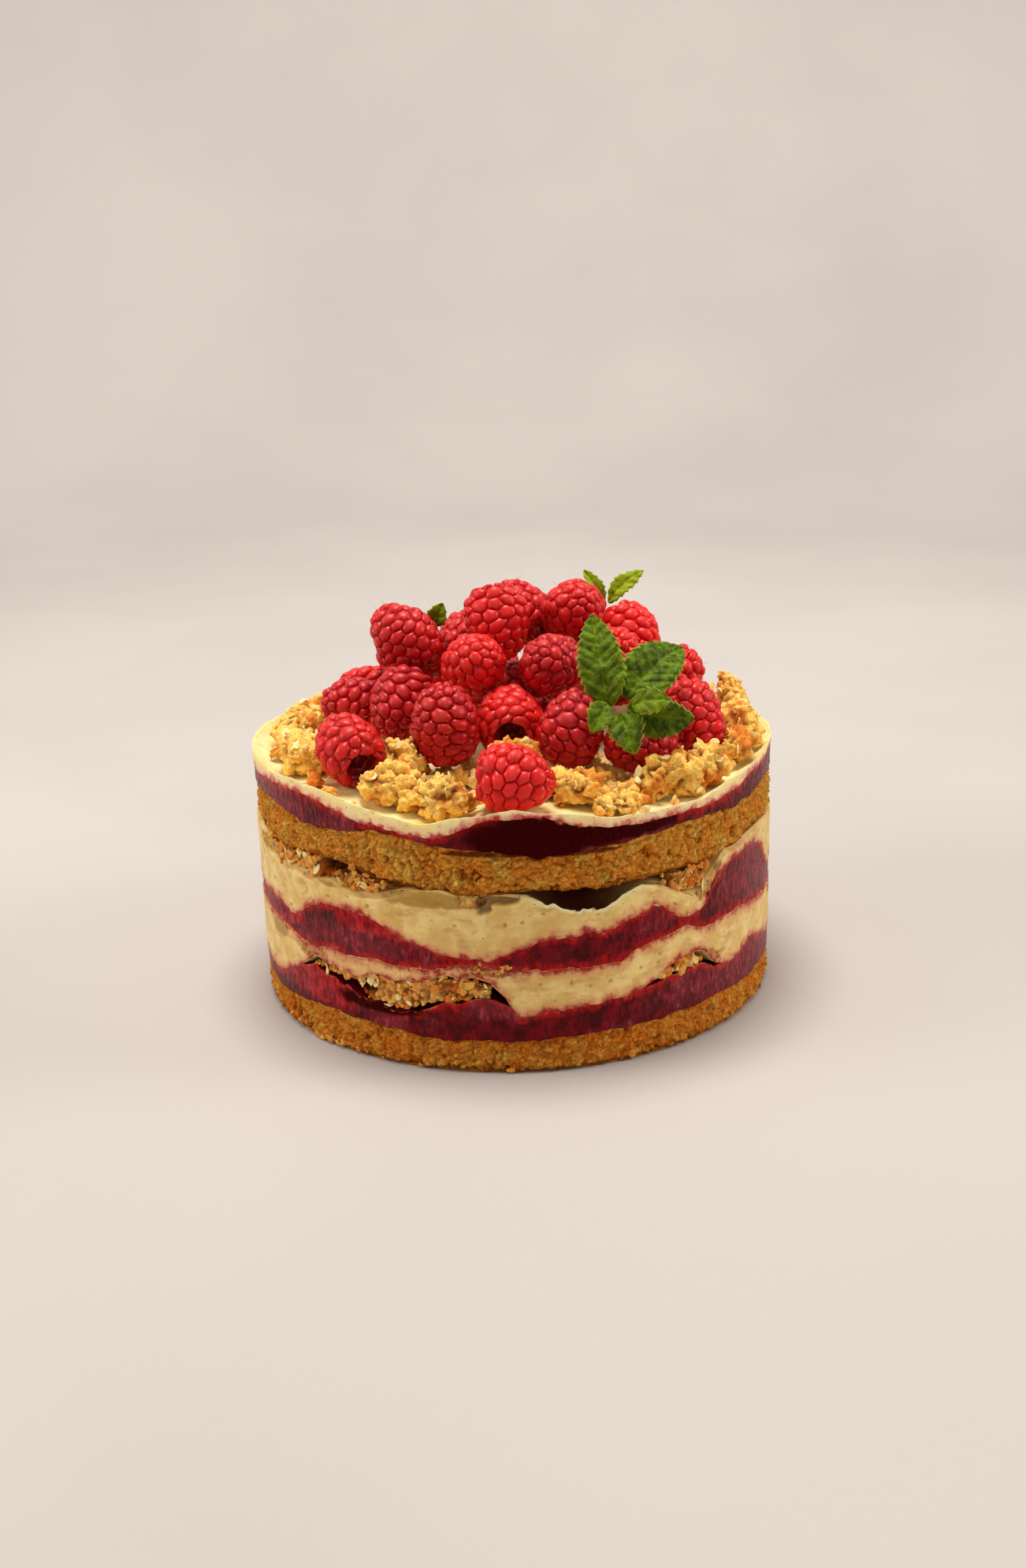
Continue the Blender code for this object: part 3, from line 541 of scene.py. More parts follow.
def seam(number, amount):  # how far an edge between two layers wanders up and down
    line = ringPoints(90, number * 40.0)
    tongues = ramp(waves(line, 5.5, number + 20), 0.1, 0.45) - ramp(waves(line, 6.5, number + 35), 0.2, 0.5)
    return amount * (0.7 * waves(line, 7.5, number) + 0.55 * tongues + 0.45 * waves(line, 3.1, number + 50)
                     + 0.25 * waves(line, 1.5, number + 90))


def gridFaces(rows, first=0, flip=False):  # quads between neighbouring rings of full columns
    row, column = np.meshgrid(np.arange(rows - 1), np.arange(columns), indexing="ij")
    after = (column + 1) % columns
    low = first + row * columns
    quads = np.stack([low + column, low + after, low + columns + after, low + columns + column], axis=-1)
    quads = quads.reshape(-1, 4)
    return quads[:, ::-1] if flip else quads


def closing(points, ringStart, radii, heightAt, flip):  # coarser rings from a full ring in to the middle
    step = layerLook["coarse"]
    coarse = columns // step
    pick = np.arange(coarse) * step
    start = sum(len(part) for part in points)
    fine = ringStart + np.arange(columns)
    faces, previous = [], None
    for radius in radii:
        ring = ringPoints(radius, heightAt(radius))[pick]
        points.append(ring)
        current = start + np.arange(coarse)
        start += coarse
        ahead = np.roll(current, -1)
        if previous is None:
            owner = np.arange(columns) // step
            faces.append(np.stack([fine, np.roll(fine, -1), current[owner]], axis=1))
            faces.append(np.stack([fine[(pick + step) % columns], ahead, current], axis=1))
        else:
            faces.append(np.stack([previous, np.roll(previous, -1), ahead], axis=1))
            faces.append(np.stack([previous, ahead, current], axis=1))
        previous = current
    points.append(np.array([[0, 0, float(np.mean(heightAt(0)))]]))
    middle = np.full(coarse, start)
    faces.append(np.stack([previous, np.roll(previous, -1), middle], axis=1))
    return [part[:, ::-1] for part in faces] if flip else faces


def wallShape(number, wall, lowEdge, highEdge):  # how far the side stands out, and the values it carries
    kind = layerList[number][2]
    angle, level = headingOf(wall), wall[:, 2]
    toEdge = np.minimum(level - lowEdge, highEdge - level)

    def blot(name):
        return np.clip(sum(patch(angle, level, spot) for spot in spots[name]), 0, 1)

    values = {}
    if kind in ("base", "sponge"):
        big, bigOwn = chunks(wall, 3.4, 5, 0.28)
        fine, fineOwn = chunks(wall, 1.5, 9, 0.4)
        out = 0.6 * rough(wall, 5, 3, 2) + 1.1 * (big * (0.4 + 0.6 * bigOwn) - 0.78) + 0.7 * (fine * fineOwn - 0.58)
        out = out - 1.0 * ramp(rough(wall, 4.2, 13, 2), 0.3, 0.6)
        # pores: painted shade, darker where the side lies deep and between the fine lumps
        values["pore"] = np.clip(0.6 * ramp(out, -0.8, -2.0) + 0.45 * (1 - fine) * (1 - 0.5 * fineOwn), 0, 1)
        # tone: random per lump, and lighter where the side stands out as painted highlight
        values["tone"] = np.clip(0.35 * bigOwn + 0.4 * fineOwn * fine + 0.45 * ramp(out, -0.6, 0.4), 0, 1)
        values["near"] = highEdge - level
        ends = level if kind == "base" else level - lowEdge
        reach = 2.2 if kind == "base" else 1.6
        # darker towards the lower edge: baked crust, and painted shade where the layer sits on what lies under it
        values["crust"] = 0.7 * ramp(ends + 1.3 * rough(wall, 4, 8), reach, 0.0)
        values["stain"] = 0.85 * ramp(blot("stain") + 0.25 * rough(wall, 1.2, 4), 0.35, 0.6)
        if kind == "base":  # the lowest edge draws in and sheds crumb
            out = out - 0.9 * ramp(level, 1.6, 0.0)
    elif kind == "jam":
        fresh = ramp(blot("fresh") + 0.35 * rough(wall, 3.5, 14), 0.35, 0.65)
        bump = np.sqrt(np.clip(1 - (grains(wall, 4.2, 21)[0] / 0.62) ** 2, 0, 1))
        slant = wall * np.array([1.0, 1.0, 0.5]) + np.outer(level, [0.35, 0.0, 0.0])
        out = 0.2 * rough(slant, 2.4, 6) - 0.2 + fresh * (0.5 * bump - 0.3)
        meetsSponge = layerList[number][1] in ("lower_jam", "top_jam")
        values["near"] = highEdge - level if meetsSponge else toEdge
        values["fresh"] = fresh * (0.45 + 0.5 * bump)
        values["thick"] = ramp(blot("thick") + 0.3 * rough(wall, 5, 31), 0.3, 0.75)
        # a mauve smear film; the finish also lays it on the fold ridges as painted sheen
        smear = ramp(rough(wall, 11, 61, 2), -0.05, 0.4) + blot("smear")
        values["smear"] = np.clip(smear, 0, 1) * (1 - values["thick"])
    else:
        nearest, _, own = grains(wall, 3.4, 33)
        pit = ramp(nearest, 0.24, 0.12) * (own < 0.35)
        ragged = ramp(rough(wall, 4.5, 36, 3), 0.28, 0.6) * ramp(rough(wall, 1.6, 38, 2), -0.1, 0.4)
        out = -0.08 + 0.2 * rough(wall * np.array([0.6, 0.6, 1.3]), 4, 2) - 0.6 * pit - 0.5 * ragged
        values["shade"] = np.clip(0.8 * pit + 0.55 * ragged, 0, 1)
        values["curd"] = 0.8 * ramp(blot("curd") + 0.35 * rough(wall, 4, 47), 0.3, 0.65)
        values["near"] = toEdge
        if kind == "topCream" or layerList[number][1] == "upper_cream":  # the upper edge meets no jam
            values["near"] = level - lowEdge
        values["crumb"] = ramp(blot("crumb") + 0.5 * rough(wall, 2.6, 53, 3), 0.35, 0.6) * (kind == "cream")
        block, blockOwn = chunks(wall, 2.2, 57, 0.4)
        out = out + values["crumb"] * (1.1 * block * blockOwn - 0.9)
        notch = ramp(blot("notch") + 0.3 * rough(wall, 2, 59), 0.3, 0.8) * (kind == "cream")
        # the notch is darkened with painted shade
        values["hole"] = 0.6 * notch
        out = out - 2.6 * notch
        # painted highlight: the torn lip is lighter along its upper edge at the open hollow
        values["lip"] = ramp(highEdge - level, 1.6, 0.5) * blot("hollow") * (kind == "cream") * (level > 40)
    return out, values


creamTop = {}  # the finished surface, for what lies on it


def makeLayer(number):
    piece, node, kind, slot, side, under, over, amount = layerList[number]
    corners = cornersOf(node)
    low, high = ringHeights(corners, side)
    middle = corners[fromAxis(corners) < 1][:, 2]
    below = layerList[number - 1][7] if number else 0
    lowEdge = low + seam(number - 1, below) - layerLook["overlap"] if number else np.zeros(columns)
    highEdge = high + seam(number, amount)
    if node == "upper_cream":  # torn lip under the open hollow
        lip = ringPoints(90, 500.0)
        highEdge = highEdge + 1.6 * patch(angles, 58, spots["hollow"][0]) * rough(lip, 4.5, 3, 3, 0.8)
    highEdge = np.maximum(highEdge, lowEdge + layerLook["thinnest"])
    rows = max(4, math.ceil(np.max(highEdge - lowEdge) / layerLook["row"])) + 1
    share = np.linspace(0, 1, rows)
    heights = lowEdge[None] + (highEdge - lowEdge)[None] * share[:, None]
    wall = np.concatenate([ringPoints(side, row) for row in heights])
    out, values = wallShape(number, wall, np.tile(lowEdge, rows), np.tile(highEdge, rows))
    fromSeam = {"upper_cream": np.tile(highEdge, rows) - wall[:, 2],
                "top_sponge": wall[:, 2] - np.tile(lowEdge, rows)}
    if node in fromSeam:  # the crumb and the cream part from each other in a groove
        gap = ramp(waves(wall, 14, 88), -0.5, 0.2) * ramp(fromSeam[node], 1.7, 0.3)
        out = out - layerLook["groove"] * gap
        # the groove is darkened with painted shade
        values["shade" if node == "upper_cream" else "pore"] += 0.45 * gap
    wall[:, :2] *= (np.minimum(side + out, layerLook["limit"]) / side)[:, None]
    points = [wall]
    faces = [gridFaces(rows)]

    innerLow = ringHeights(corners, under)[0] if under else None
    innerHigh = ringHeights(corners, over)[1] if over else None

    def level(radius, edge, inner, ring, centre, bend=1.0):  # height of a surface at a distance from the middle
        if inner is None:
            return centre + (edge - centre) * radius / 90
        if radius >= ring:
            return inner + (edge - inner) * ((radius - ring) / (90 - ring)) ** bend
        return centre + (inner - centre) * radius / ring

    def cave(radius, amount):  # the open hollow at the front widens behind its edges
        wide = patch(angles, 58, spots["hollow"][0])
        return amount * wide * ramp(radius, 74, 80) * ramp(radius, 89.8, 88)

    def ringLow(radius):
        height = level(radius, lowEdge, innerLow, under, middle.min())
        return height + cave(radius, layerLook["cave"][0]) if node == "top_sponge" else height

    def ringHigh(radius):
        height = level(radius, highEdge, innerHigh, over, middle.max(), 1.6 if node == "top_cream" else 1.0)
        return height - cave(radius, layerLook["cave"][1]) if node == "upper_cream" else height

    inner = layerLook["inner"]
    faces += closing(points, 0, inner, ringLow, True)
    if node == "top_cream":
        start = sum(len(part) for part in points)
        radii = np.concatenate([np.linspace(89.3, 86, 7), np.linspace(85.2, 56, 38)])
        crown = []
        for radius in radii:
            ring = ringPoints(radius, ringHigh(radius))
            ring[:, 2] += 0.35 * rough(ring, 9, 71) * min(1, (90 - radius) / 3) + 0.12 * rough(ring, 2.2, 75)
            crown.append(ring)
        crown[0][:, 2] -= 0.15
        points += crown
        top = np.concatenate(crown)
        edge = (rows - 1) * columns + np.arange(columns)
        first = start + np.arange(columns)
        faces.append(np.stack([edge, np.roll(edge, -1), np.roll(first, -1), first], axis=1))
        faces.append(gridFaces(len(radii), start))
        faces += closing(points, start + (len(radii) - 1) * columns, (50, 40, 20), ringHigh, False)
        radius = fromAxis(top)
        curd = sum(np.exp(-(((top[:, 0] - x) / wide) ** 2 + ((top[:, 1] - y) / deep) ** 2))
                   for x, y, wide, deep in topCurd)
        onTop = {"near": 1.2 + (90 - radius) * 1.6 + 2.4 * rough(top, 8, 77),
                 "curd": 0.8 * ramp(curd + 0.3 * rough(top, 5, 79), 0.3, 0.8)}
        hidden = np.zeros(start - len(wall))  # the rings under the layer
        for key in values:
            values[key] = np.concatenate([values[key], hidden, onTop.get(key, np.zeros(len(top)))])
        creamTop["points"] = np.concatenate([top, *points[-4:]])
    else:
        faces += closing(points, (rows - 1) * columns, inner, ringHigh, False)
    allPoints = np.concatenate(points)
    for key, value in values.items():
        rest = allPoints[len(value):]
        fill = np.full(len(rest), 9.0 if key == "near" else 0.0)
        if key in ("hole", "pore") and node in ("upper_cream", "top_sponge"):  # painted shade deep in the open hollow
            fill = patch(headingOf(rest), 58, spots["hollow"][0])
        values[key] = np.concatenate([value, fill])
    return newPiece(piece, allPoints, faces, [finishes[kind]], [node], values)


for number in range(len(layerList)):
    makeLayer(number)
print("layers made")


berryLook = {
    "length": 24.0, "width": 20.6,
    "pitch": 5.5,            # width of a drupelet
    "row": 3.95,             # distance between rows of drupelets
    "depth": 0.4,            # how far the creases lie under the solid's surface
    "bulge": 0.92,           # how far a drupelet rises over its creases
    "press": 1.05,           # how much larger than its solid a berry is, so that berries press together
    "hollow": 0.46,          # width of the stem hollow, as a share of the berry's
    "rings": (20, 42, 62, 80),   # rings of points over a drupelet, in degrees from its top
    "split": 2,              # points along each side of a drupelet
    "wobble": 0.75,          # how far a berry is out of shape
    "hairs": 16,
    "hairy": 0.72,           # share of the drupelets, from the tip, that may bear a hair
    "hairLength": (1.6, 3.0), "hairThick": 0.07,
}
berryList = {  # heading, rise, size, ripeness
    "berry_rim_left": (-150, 25, 0.96, 0.65), "berry_rim_front": (80, -5, 0.95, 0.35),
    "berry_low_01": (-60, 20, 0.93, 0.85), "berry_low_02": (-40, -45, 1.0, 0.9),
    "berry_low_03": (-20, 80, 1.02, 0.75), "berry_low_04": (178, 18, 1.02, 0.05),
    "berry_low_05": (80, 70, 0.98, 0.8), "berry_low_06": (-60, 10, 0.92, 0.9),
    "berry_low_07": (50, -40, 1.0, 0.3), "berry_low_08": (80, 30, 0.96, 0.3),
    "berry_low_09": (100, 10, 0.98, 0.5), "berry_low_10": (140, 20, 1.0, 0.6),
    "berry_low_11": (165, -20, 0.96, 0.8), "berry_low_12": (190, 30, 1.02, 0.4),
    "berry_low_13": (-150, 60, 0.98, 0.7), "berry_low_14": (-100, 20, 0.98, 0.6),
    "berry_inner_01": (30, 0, 0.92, 0.8), "berry_inner_02": (200, 0, 0.92, 0.8),
    "berry_inner_03": (90, 0, 0.92, 0.8), "berry_mid_01": (-60, 30, 0.92, 0.7),
    "berry_mid_02": (20, 30, 0.98, 0.3), "berry_mid_03": (-30, 25, 1.0, 0.85),
    "berry_mid_04": (60, 30, 0.95, 0.0), "berry_mid_05": (30, -40, 0.95, 0.1),
    "berry_mid_06": (150, 20, 0.98, 0.5), "berry_mid_07": (-160, 25, 0.98, 0.6),
    "berry_high_01": (-90, 45, 1.0, 0.6), "berry_high_02": (20, -65, 1.0, 0.35),
    "berry_high_03": (10, 25, 0.98, 0.4), "berry_high_04": (-120, 40, 0.95, 0.5),
}


def tipDirection(heading, rise):
    turn, tilt = math.radians(heading), math.radians(rise)
    return np.array([math.cos(tilt) * math.sin(turn), -math.cos(tilt) * math.cos(turn), math.sin(tilt)])


def berryProfile(length, width):  # from the tip over the side and rim into the stem hollow: radius, height
    outline = []
    for place in np.linspace(1, -0.93, 60):
        off = (place + 0.2) / 1.2 if place > -0.2 else (-0.2 - place) / 0.8
        share = math.sqrt(max(0.0, 1 - off * off)) if place > -0.2 else 1 - 0.26 * off * off
        outline.append((share * width / 2 - berryLook["depth"] * min(1, share * 2), place * length / 2))
    outline[0] = (0.0, length / 2 - berryLook["depth"])
    mouth = berryLook["hollow"] * width / 2
    foot = -length / 2
    for radius, height in ((mouth + 2.0, 0.7), (mouth + 0.7, 0.75), (mouth, 1.9), (mouth - 0.4, 4.5),
                           (mouth - 0.9, 7.5), (mouth - 2.4, 10.2), (0.0, 11.6)):
        outline.append((radius, foot + height))
    outline = np.array(outline)
    along = np.concatenate([[0], np.cumsum(np.linalg.norm(np.diff(outline, axis=0), axis=1))])
    even = np.linspace(0, along[-1], 400)
    curve = np.stack([np.interp(even, along, outline[:, k]) for k in range(2)], axis=1)
    for _ in range(30):
        curve[1:-1] = (curve[:-2] + curve[2:] + 2 * curve[1:-1]) / 4
    slope = np.gradient(curve, axis=0)
    normal = np.stack([-slope[:, 1], slope[:, 0]], axis=1)
    return even, curve, normal / np.linalg.norm(normal, axis=1)[:, None]


def zipped(first, second):  # triangles between two rings, each a list of (point, turn)
    if len(second) == 1 or len(first) == 1:
        ring, tip = (first, second) if len(second) == 1 else (second, first)
        turnBack = len(first) == 1
        tris = []
        for k in range(len(ring)):
            a, b = ring[k][0], ring[(k + 1) % len(ring)][0]
            tris.append((b, a, tip[0][0]) if turnBack else (a, b, tip[0][0]))
        return tris
    start = min(range(len(second)), key=lambda k: abs((second[k][1] - first[0][1] + math.pi) % fullTurn - math.pi))
    offset = (second[start][1] - first[0][1] + math.pi) % fullTurn - math.pi

    def turnOf(ring, base, shift, k):
        item = ring[(base + k) % len(ring)]
        return (item[1] - ring[base][1]) % fullTurn + fullTurn * (k // len(ring)) + shift

    i = j = 0
    tris = []
    while i < len(first) or j < len(second):
        ahead = turnOf(first, 0, 0, i + 1) if i < len(first) else 1e9
        other = turnOf(second, start, offset, j + 1) if j < len(second) else 1e9
        a, b = first[i % len(first)][0], second[(start + j) % len(second)][0]
        if ahead <= other:
            tris.append((a, first[(i + 1) % len(first)][0], b))
            i += 1
        else:
            tris.append((a, second[(start + j + 1) % len(second)][0], b))
            j += 1
    return tris


def berryMesh(length, width, seed, split):
    chance = np.random.default_rng(seed)
    even, curve, normals = berryProfile(length, width)

    def at(along, turn):
        radius, height = (np.interp(along, even, curve[:, k]) for k in range(2))
        outward, upward = (np.interp(along, even, normals[:, k]) for k in range(2))
        direction = np.array([math.cos(turn), math.sin(turn), 0])
        facing = direction * outward + np.array([0, 0, upward])
        return direction * radius + np.array([0, 0, height]), facing / max(1e-6, np.linalg.norm(facing))

    rim = even[np.argmin(curve[:, 1] + 1e3 * (np.arange(400) < 200))]
    outer = max(6, round((rim - 1.2) / berryLook["row"]))
    stops = [0.0] + list(np.linspace(3.5, rim - 0.5, outer)) + [rim + 3.4, rim + 7.0, rim + 10.4, even[-1]]
    places, facings, rings, bulges, insides = [], [], [], [], []
    for row, along in enumerate(stops):
        single = row in (0, len(stops) - 1)
        radius = np.interp(along, even, curve[:, 0])
        count = 1 if single else max(5, round(fullTurn * radius / berryLook["pitch"]))
        inside = row > outer
        ring = []
        begin = chance.uniform(0, fullTurn / count) if row < 2 else rings[-1][0][1] + math.pi / count
        for k in range(count):
            turn = begin + fullTurn * k / count + (0 if single else chance.uniform(-0.2, 0.2) * fullTurn / count)
            shift = 0 if single else chance.uniform(-0.15, 0.15) * berryLook["row"]
            spot, facing = at(along + shift, turn)
            ring.append((len(places), turn % fullTurn))
            places.append(spot)
            facings.append(facing)
            size = 0.2 if inside else (0.75 if row == outer else 1.0)
            bulges.append(berryLook["bulge"] * size * chance.uniform(0.7, 1.25))
            insides.append(0.0 if row < outer else (0.25 if row == outer else 1.0))
        ring.sort(key=lambda item: item[1])
        rings.append(ring)
    places, facings = np.array(places), np.array(facings)
    tris = [tri for first, second in zip(rings, rings[1:]) for tri in zipped(first, second)]
    centres = places[np.array(tris)].mean(axis=1)
    touching = [[] for _ in places]
    for number, tri in enumerate(tris):
        for corner in tri:
            touching[corner].append(number)
    points = list(centres)
    crease = {}
    faces, tones, caps, inner = [], [0.0] * len(points), [0.0] * len(points), [0.0] * len(points)
    ringAngles = [math.radians(value) for value in berryLook["rings"]]
    for number, nearby in enumerate(touching):
        facing = facings[number]
        helper = np.array([0, 0, 1.0]) if abs(facing[2]) < 0.9 else np.array([1.0, 0, 0])
        east = unit(np.cross(helper, facing))
        north = np.cross(facing, east)
        rel = centres[nearby] - places[number]
        nearby = [nearby[k] for k in np.argsort(np.arctan2(rel @ north, rel @ east))]
        border = []
        for here, there in zip(nearby, nearby[1:] + nearby[:1]):
            key = (min(here, there), max(here, there))
            if key not in crease:
                crease[key] = []
                for step in range(1, split):
                    crease[key].append(len(points))
                    points.append(centres[key[0]] + (centres[key[1]] - centres[key[0]]) * step / split)
                    tones.append(0.0), caps.append(0.0), inner.append(0.0)
            middle = crease[key] if here == key[0] else crease[key][::-1]
            border += [here, *middle]
        edge = np.array([points[k] for k in border]) - places[number]
        flat = edge - np.outer(edge @ facing, facing)
        reach = np.linalg.norm(flat, axis=1)
        tone = chance.uniform(0, 1)
        drop = edge @ facing
        top = len(points)
        points.append(places[number] + facing * bulges[number])
        tones.append(tone), caps.append(1.0), inner.append(insides[number])
        previous = None
        for angle in ringAngles:
            out = math.sin(angle)
            lift = (1 - out ** 2) ** 0.6
            evened = reach.mean() + (reach - reach.mean()) * out
            ring = places[number] + flat / reach[:, None] * (evened * out)[:, None]
            ring = ring + np.outer(bulges[number] * lift + drop * (1 - lift) * out, facing)
            begin = len(points)
            points += list(ring)
            tones += [tone] * len(ring)
            caps += [lift] * len(ring)
            inner += [insides[number]] * len(ring)
            current = list(range(begin, begin + len(ring)))
            for k in range(len(ring)):
                after = (k + 1) % len(ring)
                if previous is None:
                    faces.append((top, current[k], current[after]))
                else:
                    faces.append((previous[k], current[k], current[after]))
                    faces.append((previous[k], current[after], previous[after]))
            previous = current
        for k in range(len(border)):
            after = (k + 1) % len(border)
            faces.append((previous[k], border[k], border[after]))
            faces.append((previous[k], border[after], previous[after]))
        for k in border:
            tones[k] = max(tones[k], tone * 0.5)
            inner[k] = max(inner[k], insides[number])
    return np.array(points), faces, np.array(tones), np.array(caps), np.array(inner), places, facings


def hairMesh(points, facings, chance, first):  # fine tapered hairs that stand on the berry
    made, faces = [], []
    bearing = np.arange(1, int(len(points) * berryLook["hairy"]))
    for number in chance.choice(bearing, berryLook["hairs"], replace=False):
        facing = facings[number]
        side = unit(np.cross(facing, chance.normal(size=3)))
        across = np.cross(facing, side)
        length = chance.uniform(*berryLook["hairLength"])
        bend = chance.uniform(0.3, 1.1)
        foot = points[number] + facing * 0.9 + side * chance.uniform(1.6, 2.3)
        begin = first + len(made)
        for step in range(4):
            share = step / 3
            middle = foot + facing * length * share + side * bend * share ** 2
            thick = berryLook["hairThick"] * (1 - 0.75 * share)
            for k in range(3):
                turn = fullTurn * k / 3
                made.append(middle + thick * (side * math.cos(turn) + across * math.sin(turn)))
        for step in range(3):
            for k in range(3):
                a, b = begin + step * 3 + k, begin + step * 3 + (k + 1) % 3
                faces += [(a, b, b + 3), (a, b + 3, a + 3)]
        faces += [(begin, begin + 2, begin + 1), (begin + 9, begin + 10, begin + 11)]
    return np.array(made), faces


def makeBerry(node, order):
    heading, rise, size, ripe = berryList[node]
    hidden = "inner" in node
    chance = np.random.default_rng(300 + order)
    press = size if hidden else size * berryLook["press"]
    length, width = berryLook["length"] * press, berryLook["width"] * press
    points, faces, tones, caps, inner, middles, facings = berryMesh(
        length, width, 40 + order, 1 if hidden else berryLook["split"])
    wobble = np.stack([waves(points + 31 * order, 11, k) for k in range(3)], axis=1)
    points = points + berryLook["wobble"] * wobble
    faceCount = len(faces)
    if not hidden:
        hairs, hairFaces = hairMesh(middles, facings, chance, len(points))
        points = np.concatenate([points, hairs])
        faces += hairFaces
        tones, caps, inner = (np.concatenate([value, np.zeros(len(hairs))]) for value in (tones, caps, inner))
    axis = tipDirection(heading, rise)
    turn = np.array(Vector(axis).to_track_quat("Z", "Y").to_matrix())
    turn = turn @ np.array(Matrix.Rotation(chance.uniform(0, fullTurn), 3, "Z"))
    solid = cornersOf(node)
    along = solid @ axis
    flat = solid - np.outer(along, axis)
    centre = axis * (along.max() + along.min()) / 2 + (flat.max(axis=0) + flat.min(axis=0)) / 2
    points = points @ turn.T + centre
    # how far each point faces up and to the front, for the bloom and its painted highlight
    up = np.clip((points - centre) @ np.array([-0.15, -0.3, 0.94]) / (width / 2), -1, 1)
    values = {
        # inside: painted shade, darker in the stem hollow
        "tone": tones, "inside": 0.9 * inner, "ripe": min(1, max(0, ripe + chance.uniform(-0.15, 0.15))),
        # crease: painted shade, darker where a drupelet dips into its crease
        "crease": 0.45 * ramp(caps, 0.45, 0.0), "bloom": 0.42 * ramp(up, 0.0, 1.0) * ramp(caps, 0.3, 0.9),
    }
    which = np.zeros(len(faces))
    which[faceCount:] = 1
    return newPiece(pieceName(node), points, [np.array(faces)], [finishes["berry"], finishes["hair"]],
                    [node], values, which)


for order, node in enumerate(berryList):
    makeBerry(node, order)
print("berries made")


crumbleLook = {
    "voxel": 0.8,            # spacing of the points, in mm
    "nugget": (6.0, 2.6),    # size of the knobs and how far they stand out
    "pocket": (3.4, 1.9),    # likewise for the crumble between the layers
    "crumb": (2.1, 0.9),     # likewise for the fine crumb on both
    "flakes": 0.006,         # oat flakes for each square millimetre of surface
    "crumbs": 0.004,         # small crumbs, likewise
    "deep": [(-40.5, 63.5, 4.5, 4.5), (-24.5, 63, 3, 4), (-36, 24, 5, 2.2), (31, 57, 2.5, 3)],  # holes, painted with dark shade
    "holeDepth": 7.0,
    "ringLimit": 89.2, "pocketLimit": 89.6, "crumbLimit": 89.8,  # how far out each may stand
}
crumbleList = ["crumble_left", "crumble_front_left", "crumble_front", "crumble_front_right", "crumble_right",
               "crumble_back_right", "crumble_back", "crumble_back_left"]
pocketList = ["lower_crumble_left", "lower_crumble_right", "upper_crumble_left", "upper_crumble_right",
              "upper_crumble_back"]


def remeshed(node, voxel):  # the solid as an even fine mesh: points in mm, normals, quads
    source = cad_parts[node]
    copy = bpy.data.objects.new("remeshing", source.data.copy())
    bpy.context.scene.collection.objects.link(copy)
    body = bmesh.new()
    body.from_mesh(copy.data)
    bmesh.ops.remove_doubles(body, verts=body.verts, dist=1e-5)
    body.to_mesh(copy.data)
    body.free()
    change = copy.modifiers.new("remesh", "REMESH")
    change.mode = "VOXEL"
    change.voxel_size = voxel * mm
    bpy.context.view_layer.update()
    mesh = bpy.data.meshes.new_from_object(copy.evaluated_get(bpy.context.evaluated_depsgraph_get()))
    points = np.zeros(len(mesh.vertices) * 3)
    normals = np.zeros(len(mesh.vertices) * 3)
    mesh.vertices.foreach_get("co", points)
    mesh.vertices.foreach_get("normal", normals)
    quads = np.zeros(len(mesh.polygons) * 4, np.int64)
    mesh.polygons.foreach_get("vertices", quads)
    bpy.data.objects.remove(copy)
    return points.reshape(-1, 3) / mm, normals.reshape(-1, 3), quads.reshape(-1, 4)


def flakeMesh(chance, length, width, thick):  # a thin bent oval with a crease along it
    rings, sides = 2, 12
    points, faces = [], []
    bend, twist = chance.uniform(-0.5, 0.9), chance.uniform(-0.4, 0.4)
    wobbles = 1 + chance.uniform(-0.16, 0.16, sides)
    for face in (1, -1):
        begin = len(points)
        points.append((0, 0, face * thick / 2))
        for ring in range(1, rings + 1):
            for k in range(sides):
                turn = fullTurn * k / sides
                x = math.cos(turn) * ring / rings * wobbles[k]
                y = math.sin(turn) * ring / rings * wobbles[k]
                z = bend * x * x + twist * x * y + 0.25 * abs(y)
                rim = 1.0 if ring < rings else 0.3
                points.append((x * length / 2, y * width / 2, z * width / 2 + face * rim * thick / 2))
        for k in range(sides):
            a, b = begin + 1 + k, begin + 1 + (k + 1) % sides
            tris = [(begin, a, b), (a, a + sides, b + sides), (a, b + sides, b)]
            faces += tris if face == 1 else [tri[::-1] for tri in tris]
    last = 1 + sides
    for k in range(sides):
        a, b = last + k, last + (k + 1) % sides
        back = 1 + rings * sides
        faces += [(a, back + a, back + b), (a, back + b, b)]
    return np.array(points, float), np.array(faces)


def crumbMesh(chance, size, level=2):
    body = bmesh.new()
    bmesh.ops.create_icosphere(body, subdivisions=level, radius=1.0)
    points = np.array([corner.co[:] for corner in body.verts])
    faces = np.array([[corner.index for corner in face.verts] for face in body.faces])
    body.free()
    shift = chance.uniform(0, 100, 3)
    bumps = 1 + 0.6 * rough(points + shift, 1.3, 3, 3, 0.7)
    for _ in range(6):  # broken faces
        way = unit(chance.normal(size=3))
        points = points - np.outer(np.maximum(points @ way - chance.uniform(0.45, 0.85), 0), way)
    if level > 2:
        lump, own = chunks(points * size / 2 + shift, 2.4, 5, 0.5)
        bumps = bumps * (0.72 + 0.3 * lump + 0.15 * own)
    stretch = chance.uniform(0.7, 1.2, 3)
    return points * bumps[:, None] * stretch * size / 2, faces


def turned(chance, normal, tilt):  # a frame that leans away from the surface
    up = unit(normal + chance.normal(size=3) * tilt)
    side = unit(np.cross(up, chance.normal(size=3)))
    return np.stack([side, np.cross(up, side), up], axis=1)


